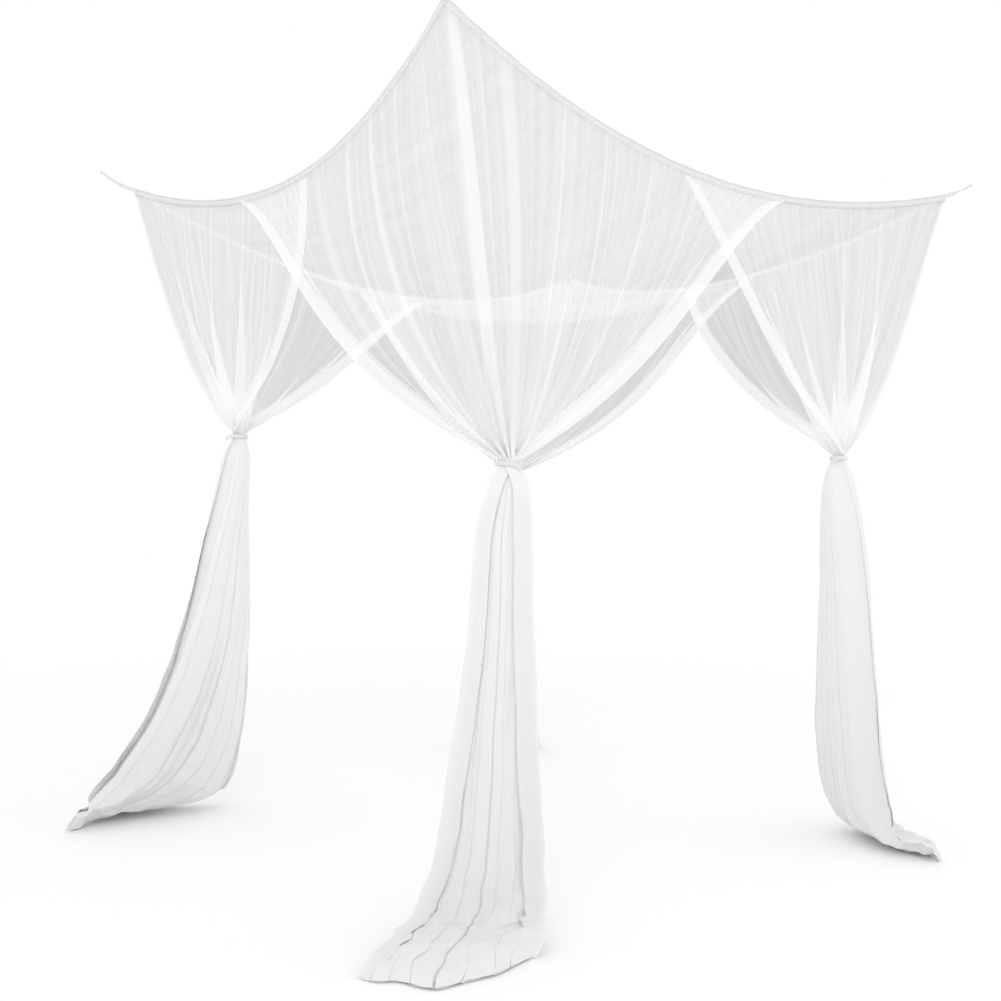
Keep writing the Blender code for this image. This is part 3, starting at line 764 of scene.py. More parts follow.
def curtain_top(sizes, corner, distance):
    """Where the net is sewn to the binding at these distances from the corner, and the way it faces."""
    half_x, half_y = half_spans(sizes)
    off_middle = (sizes.binding_thickness / 2 + NET_GAP) * (1 if corner.face == "outside" else -1)
    along_y = edge_points(sizes, 1, corner.x, corner.y * (half_y + np.minimum(distance, 0)))
    along_x = edge_points(sizes, 0, corner.y, corner.x * (half_x - np.maximum(distance, 0)))
    turn = corner_share(distance)
    outward = unit(np.stack([corner.x * (1 - turn), corner.y * turn, 0 * turn], axis=-1))
    top = np.where((distance <= 0)[..., None], along_y, along_x) + off_middle * outward
    return top - CURTAIN_DROP * UP, outward


def drape_surface(sizes, name, cloth, drop):
    """The net from the roof edge to its neck, over columns of cloth and rows of drop.

    A thread falls evenly in height. Its level move to the neck starts late, by a power of the drop set by
    where it hangs, and one part of it, SIDE_SAG, later still. The main folds, the tucks and the small pleats
    lift the net off that surface, and all of them close at the tie.
    """
    corner = CORNERS[name]
    across, out = horizontal_axes(corner)
    distance = lapped(name, cloth, np.interp(drop, *PLEAT_LAP))
    depths = fold_boundaries(name)[1]
    folds = len(depths)
    fold = fold_position(name, distance)
    packed_place, packed_side, _ = packed_fold(fold)
    closing = rising(drop, *PLACES_CLOSE)
    place = bundle_place(fold * (1 - closing) + packed_place * closing, folds)
    laid = 2 * HEM_LAID_AT_NECK / sizes.neck_width
    place, packed_side = with_hems(name, cloth, place, packed_side, laid)
    packed = rising(drop, *FOLDS_PACK)
    side = hung_side(fold) * (1 - packed) * off_hems(name, cloth) + packed_side * packed

    top, outward = curtain_top(sizes, corner, distance)
    neck = tie_centre(sizes, corner) + NECK_HALF_HEIGHT * UP
    neck = neck + (place * sizes.neck_width / 2)[..., None] * across
    far = np.abs(distance) / np.where(distance <= 0, corner.reach_y, corner.reach_x)
    inward = np.interp(far, INTO_STOPS, INTO_CANOPY[corner.face])
    turn = corner_share(distance)
    power_x = inward * (1 - turn) + np.interp(far, ALONG_STOPS, ALONG_X[name]) * turn
    power_y = np.interp(far, ALONG_STOPS, ALONG_Y[name]) * (1 - turn) + inward * turn
    free = (np.maximum(drop - SEAM_SHARE, 0) / (1 - SEAM_SHARE))[..., None]
    level = (1 - SIDE_SAG) * free ** np.stack([power_x, power_y], axis=-1)
    level = level + SIDE_SAG * free**SIDE_SAG_POWER
    share = np.concatenate([level, (drop + 0 * distance)[..., None]], axis=-1)
    base = with_flat_hems(name, cloth, drop, top + (neck - top) * share)

    half_depth = np.interp(drop, *FOLD_HALF_DEPTH) * (1 - NECK_SQUEEZE * drop**NECK_SQUEEZE_POWER)
    depth = np.interp(fold, np.arange(folds) + 0.5, depths)
    lift = half_depth * (depth + (1 - depth) * drop**EVEN_POWER) * side
    lift = lift + np.interp(drop, *TUCK_RISE) * tuck_ridges(name, cloth)
    lift = lift + np.interp(drop, *PLEAT_DEPTH) * np.cos(pleat_phase(fold_position(name, cloth)))
    lift = lift * (1 + (bundle_roundness(place) - 1) * drop**BUNDLE_POWER)
    return base + lift[..., None] * unit(outward * (1 - drop[..., None]) + out * drop[..., None])


def smooth_levels(levels, position):
    """The levels' sizes at any position from 0 to 1 down the leg, on a Catmull-Rom curve through them."""
    table = np.array(levels, float)
    table = np.vstack([2 * table[0] - table[1], table, 2 * table[-1] - table[-2]])
    place = np.clip(position, 0, 1) * (len(levels) - 1)
    first = np.minimum(place.astype(int), len(levels) - 2)
    part = (place - first)[..., None]
    a, b, c, d = (table[first + k] for k in range(4))
    return b + part / 2 * (c - a + part * (2 * a - 5 * b + 4 * c - d + part * (3 * (b - c) + d - a)))


def creased(name, place, share):
    """Depth of the creases: a bell across each, which starts and ends softly down the leg."""
    depth = 0 * place
    for crease in CREASES[name]:
        across = np.exp(-(((place - crease.place) / crease.half_width) ** 2))
        begun = rising(share - crease.start, 0, CREASE_STARTS_OVER)
        depth = depth + crease.depth * across * begun * rising(crease.end - share, 0, CREASE_ENDS_OVER)
    return depth


def leg_surface(sizes, name, cloth, share):
    """The leg, from the neck down and out along the floor, over columns of cloth and rows of share.

    Each row is a section across the folds, tilted towards the canopy's outside as it nears the floor. A
    section that lies down is pressed to FOOT_HEIGHT, crumples as it lies, and keeps FLOOR_GAP off the floor.
    """
    corner = CORNERS[name]
    across, out = horizontal_axes(corner)
    folds = len(fold_boundaries(name)[1])
    distance = lapped(name, cloth, LEG_PLEAT_LAP + 0 * share)
    packed_place, side, weave = packed_fold(fold_position(name, distance))
    place = bundle_place(packed_place, folds)
    neck_height = corner.tie_height - NECK_HALF_HEIGHT
    levels = ((neck_height, 0, 0, sizes.neck_width, sizes.neck_depth, 0, 0), *LEGS[name])
    sizes_here = smooth_levels(levels, share * np.interp(place, (-1, 0, 1), LEG_REACH[name]))
    height, shift_out, shift_across, width, depth, turn, tilt = np.moveaxis(sizes_here, -1, 0)
    turn, tilt = np.radians(turn), np.radians(np.clip(tilt, 0, 90))
    place, side = with_hems(name, cloth, place, side, 2 * np.interp(share, *HEM_LAID) / width)

    in_width = place * width / 2
    metres_down = share * LEG_LENGTH
    ripple = np.interp(share, *RIPPLE_SIZE) * soft_waves(in_width, metres_down, RIPPLES)
    ripple = ripple + LEG_PLEAT_DEPTH * np.cos(pleat_phase(fold_position(name, cloth)))
    ripple = ripple - creased(name, place, share)
    in_depth = (side * depth * LEG_FOLD_SHARE + ripple) * bundle_roundness(place)
    weave = weave * off_hems(name, cloth) * np.interp(share, *WEAVE)
    in_width = in_width + HIDDEN_WEAVE.get(name, 0) * weave * bundle_roundness(place)
    level_across = in_width * np.cos(turn) - in_depth * np.sin(turn)
    level_out = in_width * np.sin(turn) + in_depth * np.cos(turn)

    crumple = np.interp(share, *CRUMPLE_SIZE)
    wave = crumple * soft_waves(in_width, metres_down, CRUMPLES)
    cross_wave = crumple * soft_waves(metres_down + CROSS_START, in_width, CRUMPLES)
    press = FOOT_HEIGHT / np.ptp(level_out, axis=1, keepdims=True)
    settle = np.interp(share, *SETTLE)
    rise = level_out * np.sin(tilt) * press * settle
    lowest = -rise.min(axis=1, keepdims=True) + FLOOR_GAP
    z = np.maximum(height * settle, lowest) + rise + wave * settle * np.sin(tilt)
    sunk = SUNK_SIDE.get(name, 0) * rising(place, *SUNK_ACROSS) * np.interp(share, *SUNK)
    z = np.maximum(z * (1 - sunk), FLOOR_GAP)
    to_side = shift_across + level_across + cross_wave
    to_front = shift_out + level_out * np.cos(tilt) + wave
    foot = tie_centre(sizes, corner) * (1 - UP)
    return foot + to_side[..., None] * across + to_front[..., None] * out + z[..., None] * UP


def curtain_surface(sizes, name):
    """One curtain: its points, its cloth columns and the length of thread above each point."""
    cloth = cloth_columns(name, CURTAIN_COLUMNS)[None, :]
    drop = np.linspace(0, 1, DRAPE_ROWS + 1)[:, None] ** DRAPE_ROW_POWER
    share = np.linspace(0, 1, LEG_ROWS + 1)[:, None]
    points = np.concatenate([drape_surface(sizes, name, cloth, drop), leg_surface(sizes, name, cloth, share)])
    return points, cloth[0], run_length(points)


def to_sides(hung):
    """How far each point lies from the nearer side hem's edge, from its place across the hung net."""
    return np.minimum(hung, hung[:, -1:] - hung)


def hem_layers(hung, down, hem_width):
    """Extra layers of net where it is turned over as a hem along both sides and the lower edge.

    The side hem is narrow where it is sewn into the roof edge and full near the neck. A row of stitches
    gathers a little more net along its inner side.
    """
    in_hem = hem_width * np.interp(down, *HEM_GROWS) - to_sides(hung)
    side = rising(in_hem, *HEM_SOFT)
    stitch = np.exp(-((in_hem / STITCH_HALF_WIDTH) ** 2))
    low = rising(LOW_HEM - (down[-1:] - down), *LOW_HEM_SOFT)
    return HEM_LAYERS * np.maximum(side, low) + STITCH_LAYERS * stitch


def tuck_layers(name, hung, cloth, down):
    """Extra layers of net along each tuck: a band with soft sides, which opens out again towards the neck."""
    layers = np.zeros_like(hung)
    low = rising(down, *TUCK_OPENS)
    strength = np.interp(down, *TUCK_STRENGTH_BY_METRE) * np.interp(down / down[DRAPE_ROWS], *TUCK_STRENGTH)
    for tuck in TUCKS[name]:
        column = np.abs(cloth - tuck.place).argmin()
        off = np.abs(hung - hung[:, column : column + 1])
        half = tuck.half_top * (1 - low) + tuck.half_low * low
        soft = np.maximum(TUCK_SOFT_SHARE * half, TUCK_LEAST_SOFT)
        layers = layers + tuck.layers * rising(half - off, -soft, soft) * strength
    return layers


def bundle_layers(down):
    """Extra layers of net in the bundle: one as its folds close above the tie, and its packed width below."""
    neck = down[DRAPE_ROWS]
    return rising(down / neck, *FOLDS_GATHER) + BUNDLE_LAYERS * rising(down - neck, *BUNDLE_PACKS)


def packed_painted_shade(hung, down):
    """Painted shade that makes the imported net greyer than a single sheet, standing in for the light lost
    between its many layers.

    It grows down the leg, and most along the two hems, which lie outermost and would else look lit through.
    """
    neck = down[DRAPE_ROWS]
    share = np.clip((down - neck) / (down[-1:] - neck), 0, 1)
    in_hem = rising(HEM_CLOTH - to_sides(hung), *HEM_SOFT)
    return np.interp(share, *BODY_PAINTED_SHADE) * (1 - in_hem) + np.interp(share, *HEM_PAINTED_SHADE) * in_hem


def cover_of(single, layers):
    """Share of sight that this many layers stop, if one layer stops single."""
    return 1 - (1 - single) ** layers


def roof_surface(sizes):
    """The roof over a grid: its edges' sags carried across it, its own sag, and wrinkles out of each corner.

    A wrinkle is a sine of the bearing from a corner, so its crests fan out, and it fades with the distance.
    """
    run_y, run_x = np.meshgrid(
        np.linspace(-1, 1, ROOF_ROWS + 1), np.linspace(-1, 1, ROOF_COLUMNS + 1), indexing="ij"
    )
    half_x, half_y = half_spans(sizes)
    inset = sizes.binding_thickness / 2 + NET_GAP
    x = run_x * (half_x - edge_sag(run_y, sizes.edge_bow) - inset)
    y = run_y * (half_y - edge_sag(run_x, sizes.edge_bow) - inset)
    sag_x, sag_y = (
        (sags[-1] * (1 - run) + sags[1] * (1 + run)) / 2 for sags, run in zip(EDGE_SAG, (run_y, run_x))
    )
    z = sizes.hang_height + ROOF_RISE - edge_sag(run_x, sag_x) - edge_sag(run_y, sag_y)
    z = z - sizes.middle_sag * (1 - run_x**2) * (1 - run_y**2)
    off_edge = rising(np.minimum(1 - np.abs(run_x), 1 - np.abs(run_y)), *WRINKLES_OFF_EDGE)
    for corner in CORNERS.values():
        away_x, away_y = half_x - corner.x * x, half_y - corner.y * y
        away, bearing = np.hypot(away_x, away_y), np.arctan2(away_y, away_x)
        fan = sum(size * np.sin(count * bearing + start_x * corner.x + start_y * corner.y)
                  for count, start_x, start_y, size in WRINKLES)
        grown = off_edge * rising(away, *WRINKLES_OFF_CORNER) * np.exp(-away / WRINKLE_FADE)
        z = z + WRINKLE_HEIGHT * fan * grown
    return np.stack([x, y, z], axis=-1)


def tape_surface(path, widthways, half_width, half_thick):
    """A flat tape swept along a path: a tube whose section is a superellipse.

    Each of the section's sizes is a cosine or sine raised to a small power. Returns the points over path and
    section, and each point's place along and across the tape in metres.
    """
    along = unit(np.gradient(path, axis=0))
    widthways = unit(widthways - (widthways * along).sum(axis=1, keepdims=True) * along)
    facing = np.cross(along, widthways)
    angle = np.linspace(0, 2 * np.pi, TAPE_SECTION, endpoint=False)
    waves = (np.cos(angle), np.sin(angle))
    wide, thick = (np.sign(wave) * np.abs(wave) ** power for wave, power in zip(waves, TAPE_POWERS))
    across = np.broadcast_to(half_width, len(path))[:, None] * wide
    points = path[:, None] + across[..., None] * widthways[:, None]
    points = points + half_thick * thick[:, None] * facing[:, None]
    return points, np.broadcast_to(run_length(path)[:, None], across.shape), across


def binding_tape(sizes, middle):
    """A bound edge: a folded tape on edge along the roof's edge, puckered a little where it is sewn."""
    up = np.tile(UP, (len(middle), 1))
    facing = unit(np.cross(np.gradient(middle, axis=0), up))
    length = run_length(middle)
    to_end = np.minimum(length, length[-1] - length)
    pucker = soft_waves(length, 0 * length, PUCKERS) * rising(to_end, *PUCKERS_OFF_END)
    lean = soft_waves(length, 0 * length, LEANS) * rising(to_end, *LEANS_OFF_END)
    lean = np.radians(BINDING_LEAN) * lean
    path = middle + PUCKER_DEPTH * pucker[:, None] * facing
    widthways = up * np.cos(lean)[:, None] + facing * np.sin(lean)[:, None]
    half = sizes.binding_height / 2 * (1 + PUCKER_SHARE * pucker)
    return tape_surface(path, widthways, half, sizes.binding_thickness / 2)


def strap_tape(sizes, corner):
    """A corner's strap: from between the ends of two bindings out and up, turning about itself on the way."""
    _, out = horizontal_axes(corner)
    run = np.linspace(0, 1, TAPE_STEPS + 1)
    path = strap_root(sizes, corner) + np.outer(run * corner.strap_out - (1 - run) * STRAP_ROOT_IN, out)
    path = path + np.outer(corner.strap_up * run**STRAP_CURVE, UP)
    up = np.tile(UP, (len(run), 1))
    side = unit(np.cross(unit(np.gradient(path, axis=0)), up))
    turn = np.radians(corner.strap_twist) * rising(run, *STRAP_TURNS)[:, None]
    widthways = up * np.cos(turn) + side * np.sin(turn)
    return tape_surface(path, widthways, np.interp(run, *STRAP_HEIGHT) / 2, sizes.tape_thickness / 2)


def tie_tape(sizes, corner):
    """A corner's tie: a band laid once round the neck on an ellipse, its last end left free to hang."""
    across, out = horizontal_axes(corner)
    turn = np.linspace(0, 1, 2 * TAPE_STEPS + 1)
    bearing = np.radians(corner.knot_bearing) + 2 * np.pi * turn
    half_across = sizes.neck_width / 2 / NECK_ROUNDNESS + TIE_CLEARANCE + TIE_LAP * turn
    half_out = sizes.neck_depth / 2 + TIE_CLEARANCE + TIE_LAP * turn
    band = tie_centre(sizes, corner) + np.outer(half_across * np.sin(bearing), across)
    band = band + np.outer(half_out * np.cos(bearing), out)

    along = unit(band[-1] - band[-2])
    length = np.cumsum(TAIL_LENGTHS)
    fine = np.linspace(0, length[-1], TAIL_STEPS + 1)
    bend = np.radians(np.interp(fine, length, TAIL_BENDS))
    heading = np.outer(np.cos(bend), along) - np.outer(np.sin(bend), UP)
    steps = (heading[1:] + heading[:-1]) / 2 * np.diff(fine)[:, None]
    path = np.concatenate([band, band[-1] + np.cumsum(steps, axis=0)])
    upward = np.outer(np.sin(bend), along) + np.outer(np.cos(bend), UP)
    widthways = np.concatenate([np.tile(UP, (len(turn), 1)), upward[1:]])
    return tape_surface(path, widthways, sizes.tie_width / 2, sizes.tape_thickness / 2)


def new_mesh(name, points, faces, smooth=True):
    """A mesh of these points and faces, shaded smooth or flat."""
    mesh = bpy.data.meshes.new(name)
    mesh.from_pydata(np.ascontiguousarray(points, dtype=float), [], faces)
    mesh.polygons.foreach_set("use_smooth", np.full(len(mesh.polygons), smooth))
    mesh.update()
    return mesh


def grid_faces(rows, columns, flip):
    """The quads of a grid of points, turned to face its outside."""
    grid = np.arange(rows * columns).reshape(rows, columns)
    quads = np.stack([grid[:-1, :-1], grid[1:, :-1], grid[1:, 1:], grid[:-1, 1:]], axis=-1).reshape(-1, 4)
    return quads[:, ::-1] if flip else quads


def tube_faces(rows, columns):
    """The quads of a tube, each row a ring of its section, and a flat cap at both ends."""
    ring = np.arange(rows * columns).reshape(rows, columns)
    after = np.roll(ring, -1, axis=1)
    quads = np.stack([ring[:-1], ring[1:], after[1:], after[:-1]], axis=-1).reshape(-1, 4)
    return [*quads[:, ::-1].tolist(), ring[0, ::-1].tolist(), ring[-1].tolist()]


def set_cloth_map(mesh, u, v):
    """A UV map in metres of cloth, so that weave and wrinkles follow the net."""
    place = np.empty(len(mesh.loops), dtype=np.int32)
    mesh.loops.foreach_get("vertex_index", place)
    layer = mesh.uv_layers.new(name="cloth")
    layer.uv.foreach_set("vector", np.stack([u.ravel()[place], v.ravel()[place]], axis=-1).ravel())


def set_point_value(mesh, name, values):
    """Stores a number at each point, for the material to read."""
    attribute = mesh.attributes.new(name, "FLOAT", "POINT")
    attribute.data.foreach_set("value", np.ascontiguousarray(values, dtype=np.float32).ravel())


def in_frame(sizes, points):
    """Points in the canopy's frame, whose origin is where the front left corner is hung."""
    return (points - hang_point(sizes)).reshape(-1, 3)


def add_object(name, data):
    """Links a new object to the scene."""
    obj = bpy.data.objects.new(name, data)
    bpy.context.scene.collection.objects.link(obj)
    return obj


def add_piece(name, mesh, material, nodes):
    """Links a finished mesh, rides it on the canopy's body and stands it in for its solids."""
    obj = add_object(name, mesh)
    mesh.materials.append(material)
    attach(obj, BODY)
    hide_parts(*nodes)
    return obj


def add_tape(context, name, tape, node):
    """Makes a swept tape into a piece that stands for its solid."""
    points, along, across = tape
    mesh = new_mesh(name, in_frame(context.scene.canopy_sizes, points), tube_faces(*across.shape))
    set_cloth_map(mesh, along, across)
    return add_piece(name, mesh, tape_material(context), [node])


def add_node(tree, kind, inputs=(), **settings):
    """Adds a shader node with these settings and returns its outputs.

    The inputs come in the node's own order, or by their names or numbers. Each is a value, or another node's
    output that is joined to it.
    """
    node = tree.nodes.new("ShaderNode" + kind)
    for key, value in settings.items():
        setattr(node, key, value)
    for key, value in inputs.items() if isinstance(inputs, dict) else enumerate(inputs):
        if isinstance(value, bpy.types.NodeSocket):
            tree.links.new(value, node.inputs[key])
        else:
            node.inputs[key].default_value = value
    return node.outputs


def opaque_grey(value):
    """A grey as red, green, blue and alpha."""
    return value, value, value, 1.0


def new_material(name):
    """A material with an empty node tree, and that tree."""
    material = bpy.data.materials.new(name)
    material.use_nodes = True
    material.node_tree.nodes.clear()
    return material, material.node_tree


def knitted_net(name, colour, cell):
    """Knitted polyester net: matt white yarn round open holes, so cloth behind it shows through.

    The yarn is a fine multifilament, matt with a faint sheen, and a little light comes through it. The share
    of yarn is the piece's own cover, uneven in long streaks where the knit is drawn, and even where layers
    lie thick. Holes 1.5 mm wide are too fine to show, so they are drawn as a hexagonal ripple of cover a few
    times coarser. A painted shade stored on the piece darkens the yarn where packed layers shade one another.
    """
    material, tree = new_material(name)
    cloth = add_node(tree, "UVMap", uv_map="cloth")["UV"]
    cover = add_node(tree, "Attribute", attribute_name="cover")["Fac"]
    layer_painted_shade = add_node(tree, "Attribute", attribute_name="layer_painted_shade")["Fac"]
    drawn = add_node(tree, "Mapping", {"Vector": cloth, "Scale": STREAKS})["Vector"]
    noise = {"Vector": drawn, "Scale": 1.0, "Detail": 3.0, "Roughness": 0.55}
    streaks = add_node(tree, "TexNoise", noise, noise_dimensions="2D")["Fac"]
    streaks = add_node(tree, "MapRange", (streaks, 0.32, 0.68, 0.78, 1.22))["Result"]
    waves = []
    for way in KNIT_WAYS:
        run = add_node(tree, "VectorMath", (cloth, way), operation="DOT_PRODUCT")["Value"]
        angle = add_node(tree, "Math", (run, 2 * np.pi / cell), operation="MULTIPLY")[0]
        waves.append(add_node(tree, "Math", (angle,), operation="COSINE")[0])
    ripple = add_node(tree, "Math", (waves[0], waves[1]), operation="ADD")[0]
    ripple = add_node(tree, "Math", (ripple, waves[2]), operation="ADD")[0]
    knit = add_node(tree, "MapRange", (ripple, -1.5, 3.0, 1.03, 0.94))["Result"]
    uneven = add_node(tree, "Math", (streaks, knit, -1.0), operation="MULTIPLY_ADD")[0]
    thin = add_node(tree, "Math", (EVEN_COVER, cover), operation="SUBTRACT")[0]
    thin = add_node(tree, "Math", (thin, 0.0), operation="MAXIMUM")[0]
    uneven = add_node(tree, "Math", (uneven, thin), operation="MULTIPLY")[0]
    share = add_node(tree, "Math", (cover, uneven), operation="ADD", use_clamp=True)[0]
    # Painted shade: the yarn's white is mixed towards black by the shade stored on the piece.
    white = {0: layer_painted_shade, 6: (*colour, 1.0), 7: opaque_grey(0.0)}
    white = add_node(tree, "Mix", white, data_type="RGBA")[2]
    matt = {"Base Color": white, "Roughness": 0.85, "Sheen Weight": 0.10, "Specular IOR Level": 0.3}
    yarn = add_node(tree, "BsdfPrincipled", matt)["BSDF"]
    through = add_node(tree, "BsdfTranslucent", {"Color": white})["BSDF"]
    yarn = add_node(tree, "MixShader", (0.12, yarn, through))[0]
    hole = add_node(tree, "BsdfTransparent")["BSDF"]
    surface = add_node(tree, "MixShader", (share, hole, yarn))[0]
    add_node(tree, "OutputMaterial", {"Surface": surface})
    return material


def woven_tape(name, colour):
    """Woven polyester tape: opaque matt white with ribs across it. A wide one has a row of stitches along it.

    The stitches pull a dimpled line into the tape near each edge, which also carries a painted shade, and a
    painted shade darkens its turned edges.
    """
    material, tree = new_material(name)
    cloth = add_node(tree, "UVMap", uv_map="cloth")["UV"]
    bands = {"Vector": cloth, "Scale": 1 / TAPE_RIB / WAVE_REPEATS, "Distortion": 0.6, "Detail": 1.0}
    ribs = add_node(tree, "TexWave", bands, wave_type="BANDS", bands_direction="X")["Fac"]
    noise = {"Vector": cloth, "Scale": TAPE_MOTTLES, "Detail": 2.0}
    mottle = add_node(tree, "TexNoise", noise, noise_dimensions="2D")["Fac"]
    part = add_node(tree, "SeparateXYZ", {"Vector": cloth})
    off_middle = add_node(tree, "Math", (part["Y"],), operation="ABSOLUTE")[0]
    off_seam = add_node(tree, "Math", (off_middle, SEAM_PLACE), operation="SUBTRACT")[0]
    off_seam = add_node(tree, "Math", (off_seam,), operation="ABSOLUTE")[0]
    seam = (off_seam, 0.0, SEAM_HALF_WIDTH, 1.0, 0.0)
    seam = add_node(tree, "MapRange", seam, interpolation_type="SMOOTHSTEP")["Result"]
    dash = add_node(tree, "Math", (part["X"], 2 * np.pi / STITCH_LENGTH), operation="MULTIPLY")[0]
    dash = add_node(tree, "Math", (dash,), operation="SINE")[0]
    dash = add_node(tree, "MapRange", (dash, -1.0, 1.0, 0.55, 1.0))["Result"]
    stitch_dimple_and_shade = add_node(tree, "Math", (seam, dash), operation="MULTIPLY")[0]
    edge_painted_shade = (off_middle, *TURNED_EDGE_SHADE)
    edge_painted_shade = add_node(tree, "MapRange", edge_painted_shade, interpolation_type="SMOOTHSTEP")["Result"]
    height = add_node(tree, "Math", (mottle, 0.5, ribs), operation="MULTIPLY_ADD")[0]
    height = add_node(tree, "Math", (stitch_dimple_and_shade, -1.5, height), operation="MULTIPLY_ADD")[0]
    bump = add_node(tree, "Bump", {"Strength": 0.5, "Distance": 0.0006, "Height": height})["Normal"]
    # Painted shade: the stitch lines and turned edges darken the tape's colour.
    painted_shade_lines = add_node(tree, "Math", (stitch_dimple_and_shade, edge_painted_shade), operation="MAXIMUM")[0]
    shade = add_node(tree, "MapRange", (painted_shade_lines, 0.0, 1.0, 1.0, 0.72))["Result"]
    shaded = {0: 1.0, 6: (*colour, 1.0), 7: shade}
    shaded = add_node(tree, "Mix", shaded, data_type="RGBA", blend_type="MULTIPLY")[2]
    matt = {"Base Color": shaded, "Roughness": 0.75, "Sheen Weight": 0.12, "Normal": bump}
    tape = add_node(tree, "BsdfPrincipled", matt)["BSDF"]
    add_node(tree, "OutputMaterial", {"Surface": tape})
    return material


def net_material(context):
    finish = context.scene.canopy_finish
    name = "knitted_polyester_net"
    return bpy.data.materials.get(name) or knitted_net(name, finish.net_colour, finish.net_cell)


def tape_material(context):
    finish = context.scene.canopy_finish
    name = "woven_polyester_tape"
    return bpy.data.materials.get(name) or woven_tape(name, finish.tape_colour)


class CANOPY_OT_curtains(bpy.types.Operator):
    """Makes the four corner curtains, each one sheet of net from the roof edge to its puddle on the floor"""

    bl_idname = "canopy.curtains"
    bl_label = "Curtains"

    def execute(self, context):
        sizes, finish = context.scene.canopy_sizes, context.scene.canopy_finish
        for name, corner in CORNERS.items():
            points, cloth, down = curtain_surface(sizes, name)
            rows, columns = points.shape[:2]
            faces = grid_faces(rows, columns, corner.x * corner.y < 0)
            mesh = new_mesh("net_" + name, in_frame(sizes, points), faces)
            set_cloth_map(mesh, np.tile(cloth, (rows, 1)), down)
            hung = run_length(points, axis=1)
            layers = 1 + tuck_layers(name, hung, cloth, down) + hem_layers(hung, down, finish.hem_width)
            set_point_value(mesh, "cover", cover_of(finish.net_cover, layers + bundle_layers(down)))
            # Painted shade: the packed net is darkened down the leg, most along its hems.
            set_point_value(mesh, "layer_painted_shade", packed_painted_shade(hung, down))
            piece = add_piece(mesh.name, mesh, net_material(context), ["curtain_" + name])
        return {"FINISHED"}


class CANOPY_OT_roof(bpy.types.Operator):
    """Makes the roof, one sheet of net sewn to the bindings"""

    bl_idname = "canopy.roof"
    bl_label = "Roof"

    def execute(self, context):
        sizes, finish = context.scene.canopy_sizes, context.scene.canopy_finish
        points = roof_surface(sizes)
        rows, columns = points.shape[:2]
        mesh = new_mesh("net_roof", in_frame(sizes, points), grid_faces(rows, columns, True))
        set_cloth_map(mesh, points[..., 0], points[..., 1])
        to_back = np.linspace(0, 1, rows)[:, None] + np.linspace(0, 1, columns) - 1
        layers = np.interp(rising(to_back, -0.5, 0.5), (0.0, 1.0), ROOF_LAYERS)
        set_point_value(mesh, "cover", cover_of(finish.net_cover, layers))
        piece = add_piece("net_roof", mesh, net_material(context), ["roof_net"])
        return {"FINISHED"}


class CANOPY_OT_bindings(bpy.types.Operator):
    """Makes the four bindings round the roof"""

    bl_idname = "canopy.bindings"
    bl_label = "Bindings"

    def execute(self, context):
        sizes = context.scene.canopy_sizes
        run = np.linspace(-1, 1, BINDING_STEPS + 1)
        for side, axis, sign in (("front", 0, -1), ("back", 0, 1), ("left", 1, -1), ("right", 1, 1)):
            place = run * (half_spans(sizes)[axis] - BINDING_END_GAP)
            tape = binding_tape(sizes, edge_points(sizes, axis, sign, place))
            piece = add_tape(context, "binding_tape_" + side, tape, "binding_" + side)
        return {"FINISHED"}


class CANOPY_OT_straps(bpy.types.Operator):
    """Makes the strap that hangs each corner"""

    bl_idname = "canopy.straps"
    bl_label = "Straps"

    def execute(self, context):
        for name, corner in CORNERS.items():
            tape = strap_tape(context.scene.canopy_sizes, corner)
            piece = add_tape(context, "strap_tape_" + name, tape, "strap_" + name)
        return {"FINISHED"}


class CANOPY_OT_ties(bpy.types.Operator):
    """Makes the band that ties each curtain"""

    bl_idname = "canopy.ties"
    bl_label = "Ties"

    def execute(self, context):
        sizes = context.scene.canopy_sizes
        for name, corner in CORNERS.items():
            tape = tie_tape(sizes, corner)
            piece = add_tape(context, "tie_tape_" + name, tape, "tie_" + name)
        return {"FINISHED"}


def seen_through_net(tree):
    """One where the camera looks through net, zero where it looks straight at the stage or light bounces. It
    masks the painted shade on the backdrop and floor behind the net.
    """
    path = add_node(tree, "LightPath")
    through = add_node(tree, "Math", (path["Transparent Depth"], 0.5), operation="GREATER_THAN")[0]
    return add_node(tree, "Math", (through, path["Is Camera Ray"]), operation="MULTIPLY")[0]


def stage_floor(sizes):
    """A wide pale matt floor that fades into the white backdrop far out, with a painted shade where it is seen
    through net.
    """
    middle = -hang_point(sizes)
    angle = np.linspace(0, 2 * np.pi, FLOOR_SIDES, endpoint=False)
    ring = np.stack([np.cos(angle), np.sin(angle), 0 * angle], axis=-1) * FLOOR_RADIUS
    mesh = new_mesh("floor", ring + middle, [list(range(FLOOR_SIDES))], smooth=False)
    material, tree = new_material("matt_white_floor")
    seen = seen_through_net(tree)
    place = add_node(tree, "TexCoord")["Object"]
    away = add_node(tree, "VectorMath", (place, tuple(middle)), operation="DISTANCE")["Value"]
    far = add_node(tree, "MapRange", (away, *FLOOR_FADE), interpolation_type="SMOOTHSTEP")["Result"]
    # Painted shade: the floor is darker where seen through net.
    colour = {0: seen, 6: opaque_grey(FLOOR_GREY), 7: opaque_grey(FLOOR_THROUGH_NET)}
    colour = add_node(tree, "Mix", colour, data_type="RGBA")[2]
    matt = add_node(tree, "BsdfDiffuse", {"Color": colour})[0]
    strength = (seen, WHITE_THROUGH_NET - WHITE_SEEN, WHITE_SEEN)
    strength = add_node(tree, "Math", strength, operation="MULTIPLY_ADD")[0]
    white = add_node(tree, "Emission", {"Strength": strength})[0]
    surface = add_node(tree, "MixShader", (far, matt, white))[0]
    add_node(tree, "OutputMaterial", {"Surface": surface})
    mesh.materials.append(material)
    floor = add_object("floor", mesh)


